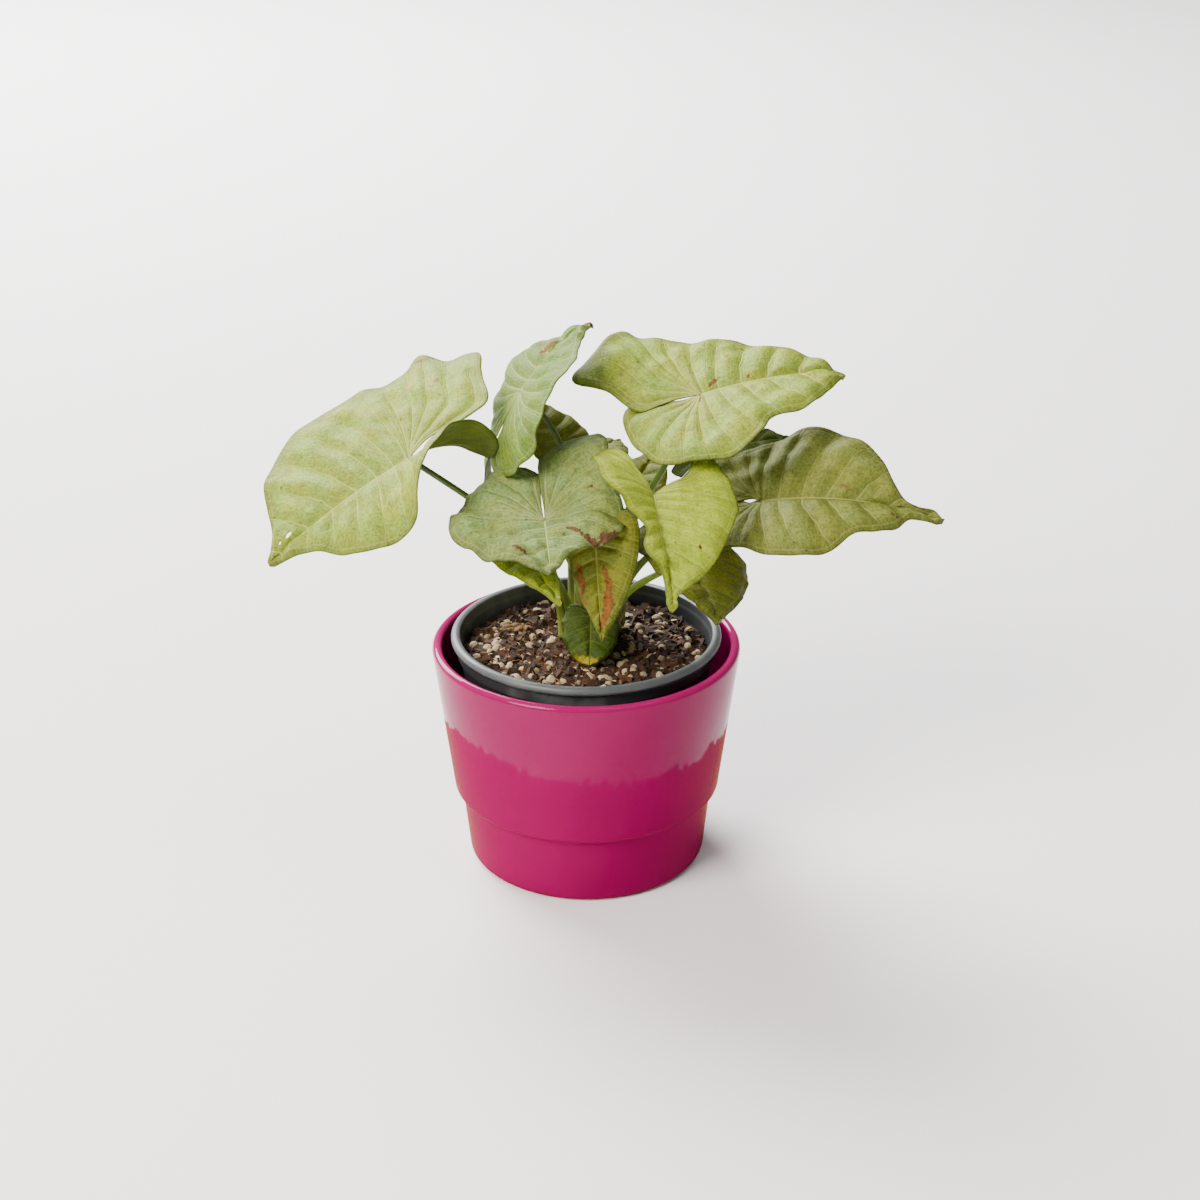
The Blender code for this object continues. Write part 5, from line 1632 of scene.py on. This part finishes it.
class ARROWHEAD_OT_leaf_stalks(bpy.types.Operator):
    """Makes the leaf stalks"""

    bl_idname = "arrowhead.leaf_stalks"
    bl_label = "Leaf Stalks"

    def execute(self, context):
        # Two copies of one stalk colour: the paler one is painted light, the deep one painted shade
        painted_lit = stalk_fibre("painted_lit", linear("b0b65a"), linear("78902a"), linear("647d22"))
        deep = stalk_fibre("deep", linear("8a9440"), linear("4c6414"), linear("3a5010"))
        for index, leaf in enumerate(LEAVES):
            if leaf.root is None:
                continue
            stalk = build_stalk(leaf, index, painted_lit if leaf.name in PAINTED_LIT_STALKS else deep)
            settle(stalk, f"{leaf.name}_stalk_green", f"stalk_{leaf.name}")
        return {"FINISHED"}


class ARROWHEAD_OT_sheaths(bpy.types.Operator):
    """Makes the dry sheaths at the feet of some stalks"""

    bl_idname = "arrowhead.sheaths"
    bl_label = "Sheaths"

    def execute(self, context):
        papery = papery_sheath()
        leaves = {leaf.name: leaf for leaf in LEAVES}
        for seed, (name, facing, height) in enumerate(SHEATHS):
            sheath = build_sheath(leaves[name], facing, height * MM, seed, papery)
            settle(sheath, f"{name}_sheath", f"sheath_{name}")
        return {"FINISHED"}


class ARROWHEAD_OT_stage(bpy.types.Operator):
    """Makes the pale floor, the soft studio light and the camera"""

    bl_idname = "arrowhead.stage"
    bl_label = "Stage"

    def execute(self, context):
        # Matt painted board: pale and even
        board, _, _ = start_material("matt_painted_board", linear("f0ecea"), 0.9)
        floor = mesh_piece("floor", [(-4, -4, 0), (4, -4, 0), (4, 6, 0), (-4, 6, 0)], [(0, 1, 2, 3)], board)
        # Matt brown card with an uneven edge, which shows only in the pots' reflections
        warm, _, _ = start_material("warm_reflection_card", linear("8a5a34"), 0.9)
        card = mesh_piece("reflection_card", card_outline(), [tuple(range(CARD_STEPS))], warm)
        for sight in ("camera", "diffuse", "shadow", "transmission"):
            setattr(card, f"visible_{sight}", False)
        for name, place, aim, size, power, colour in LIGHTS:
            data = bpy.data.lights.new(name, "AREA")
            data.shape = "DISK"
            data.size = size
            data.energy = power
            data.color = linear(colour)[:3]
            lamp = bpy.data.objects.new(name, data)
            lamp.location = place
            lamp.rotation_euler = (Vector(aim) - Vector(place)).to_track_quat("-Z", "Y").to_euler()
            context.scene.collection.objects.link(lamp)
        world = bpy.data.worlds.new("studio")
        world.use_nodes = True
        sky = world.node_tree.nodes["Background"]
        sky.inputs["Color"].default_value = linear("f6f7fa")
        sky.inputs["Strength"].default_value = 0.38
        context.scene.world = world
        lens = bpy.data.cameras.new("camera")
        lens.lens = 60.0
        lens.sensor_width = 36.0
        camera = bpy.data.objects.new("camera", lens)
        camera.location = (0.0061, -0.805, 0.4836)
        camera.rotation_euler = (math.radians(65.83), 0.0, 0.0)
        context.scene.collection.objects.link(camera)
        context.scene.camera = camera
        return {"FINISHED"}


OPERATORS = [
    ARROWHEAD_OT_cover_pot,
    ARROWHEAD_OT_nursery_pot,
    ARROWHEAD_OT_growing_mix,
    ARROWHEAD_OT_crown,
    ARROWHEAD_OT_leaf_blades,
    ARROWHEAD_OT_leaf_stalks,
    ARROWHEAD_OT_sheaths,
    ARROWHEAD_OT_stage,
]


class ARROWHEAD_PT_plant(bpy.types.Panel):
    """Lists the plant's settings and the pieces that it is made of"""

    bl_idname = "ARROWHEAD_PT_plant"
    bl_label = "Potted Arrowhead Plant"
    bl_space_type = "VIEW_3D"
    bl_region_type = "UI"
    bl_category = "Plant"

    def draw(self, context):
        layout = self.layout
        for settings in (context.scene.arrowhead_plant, context.scene.arrowhead_mix):
            box = layout.box()
            for name in settings.__annotations__:
                box.prop(settings, name)
        for operator in OPERATORS:
            layout.operator(operator.bl_idname)


CLASSES = [PlantSettings, MixSettings, *OPERATORS, ARROWHEAD_PT_plant]


def register():
    for item in CLASSES:
        bpy.utils.register_class(item)
    bpy.types.Scene.arrowhead_plant = PointerProperty(type=PlantSettings)
    bpy.types.Scene.arrowhead_mix = PointerProperty(type=MixSettings)


def unregister():
    del bpy.types.Scene.arrowhead_mix
    del bpy.types.Scene.arrowhead_plant
    for item in reversed(CLASSES):
        bpy.utils.unregister_class(item)


def main():
    register()
    bpy.ops.arrowhead.cover_pot()
    bpy.ops.arrowhead.nursery_pot()
    bpy.ops.arrowhead.growing_mix()
    bpy.ops.arrowhead.crown()
    bpy.ops.arrowhead.leaf_blades()
    bpy.ops.arrowhead.leaf_stalks()
    bpy.ops.arrowhead.sheaths()
    bpy.ops.arrowhead.stage()


if __name__ == "__main__":
    main()
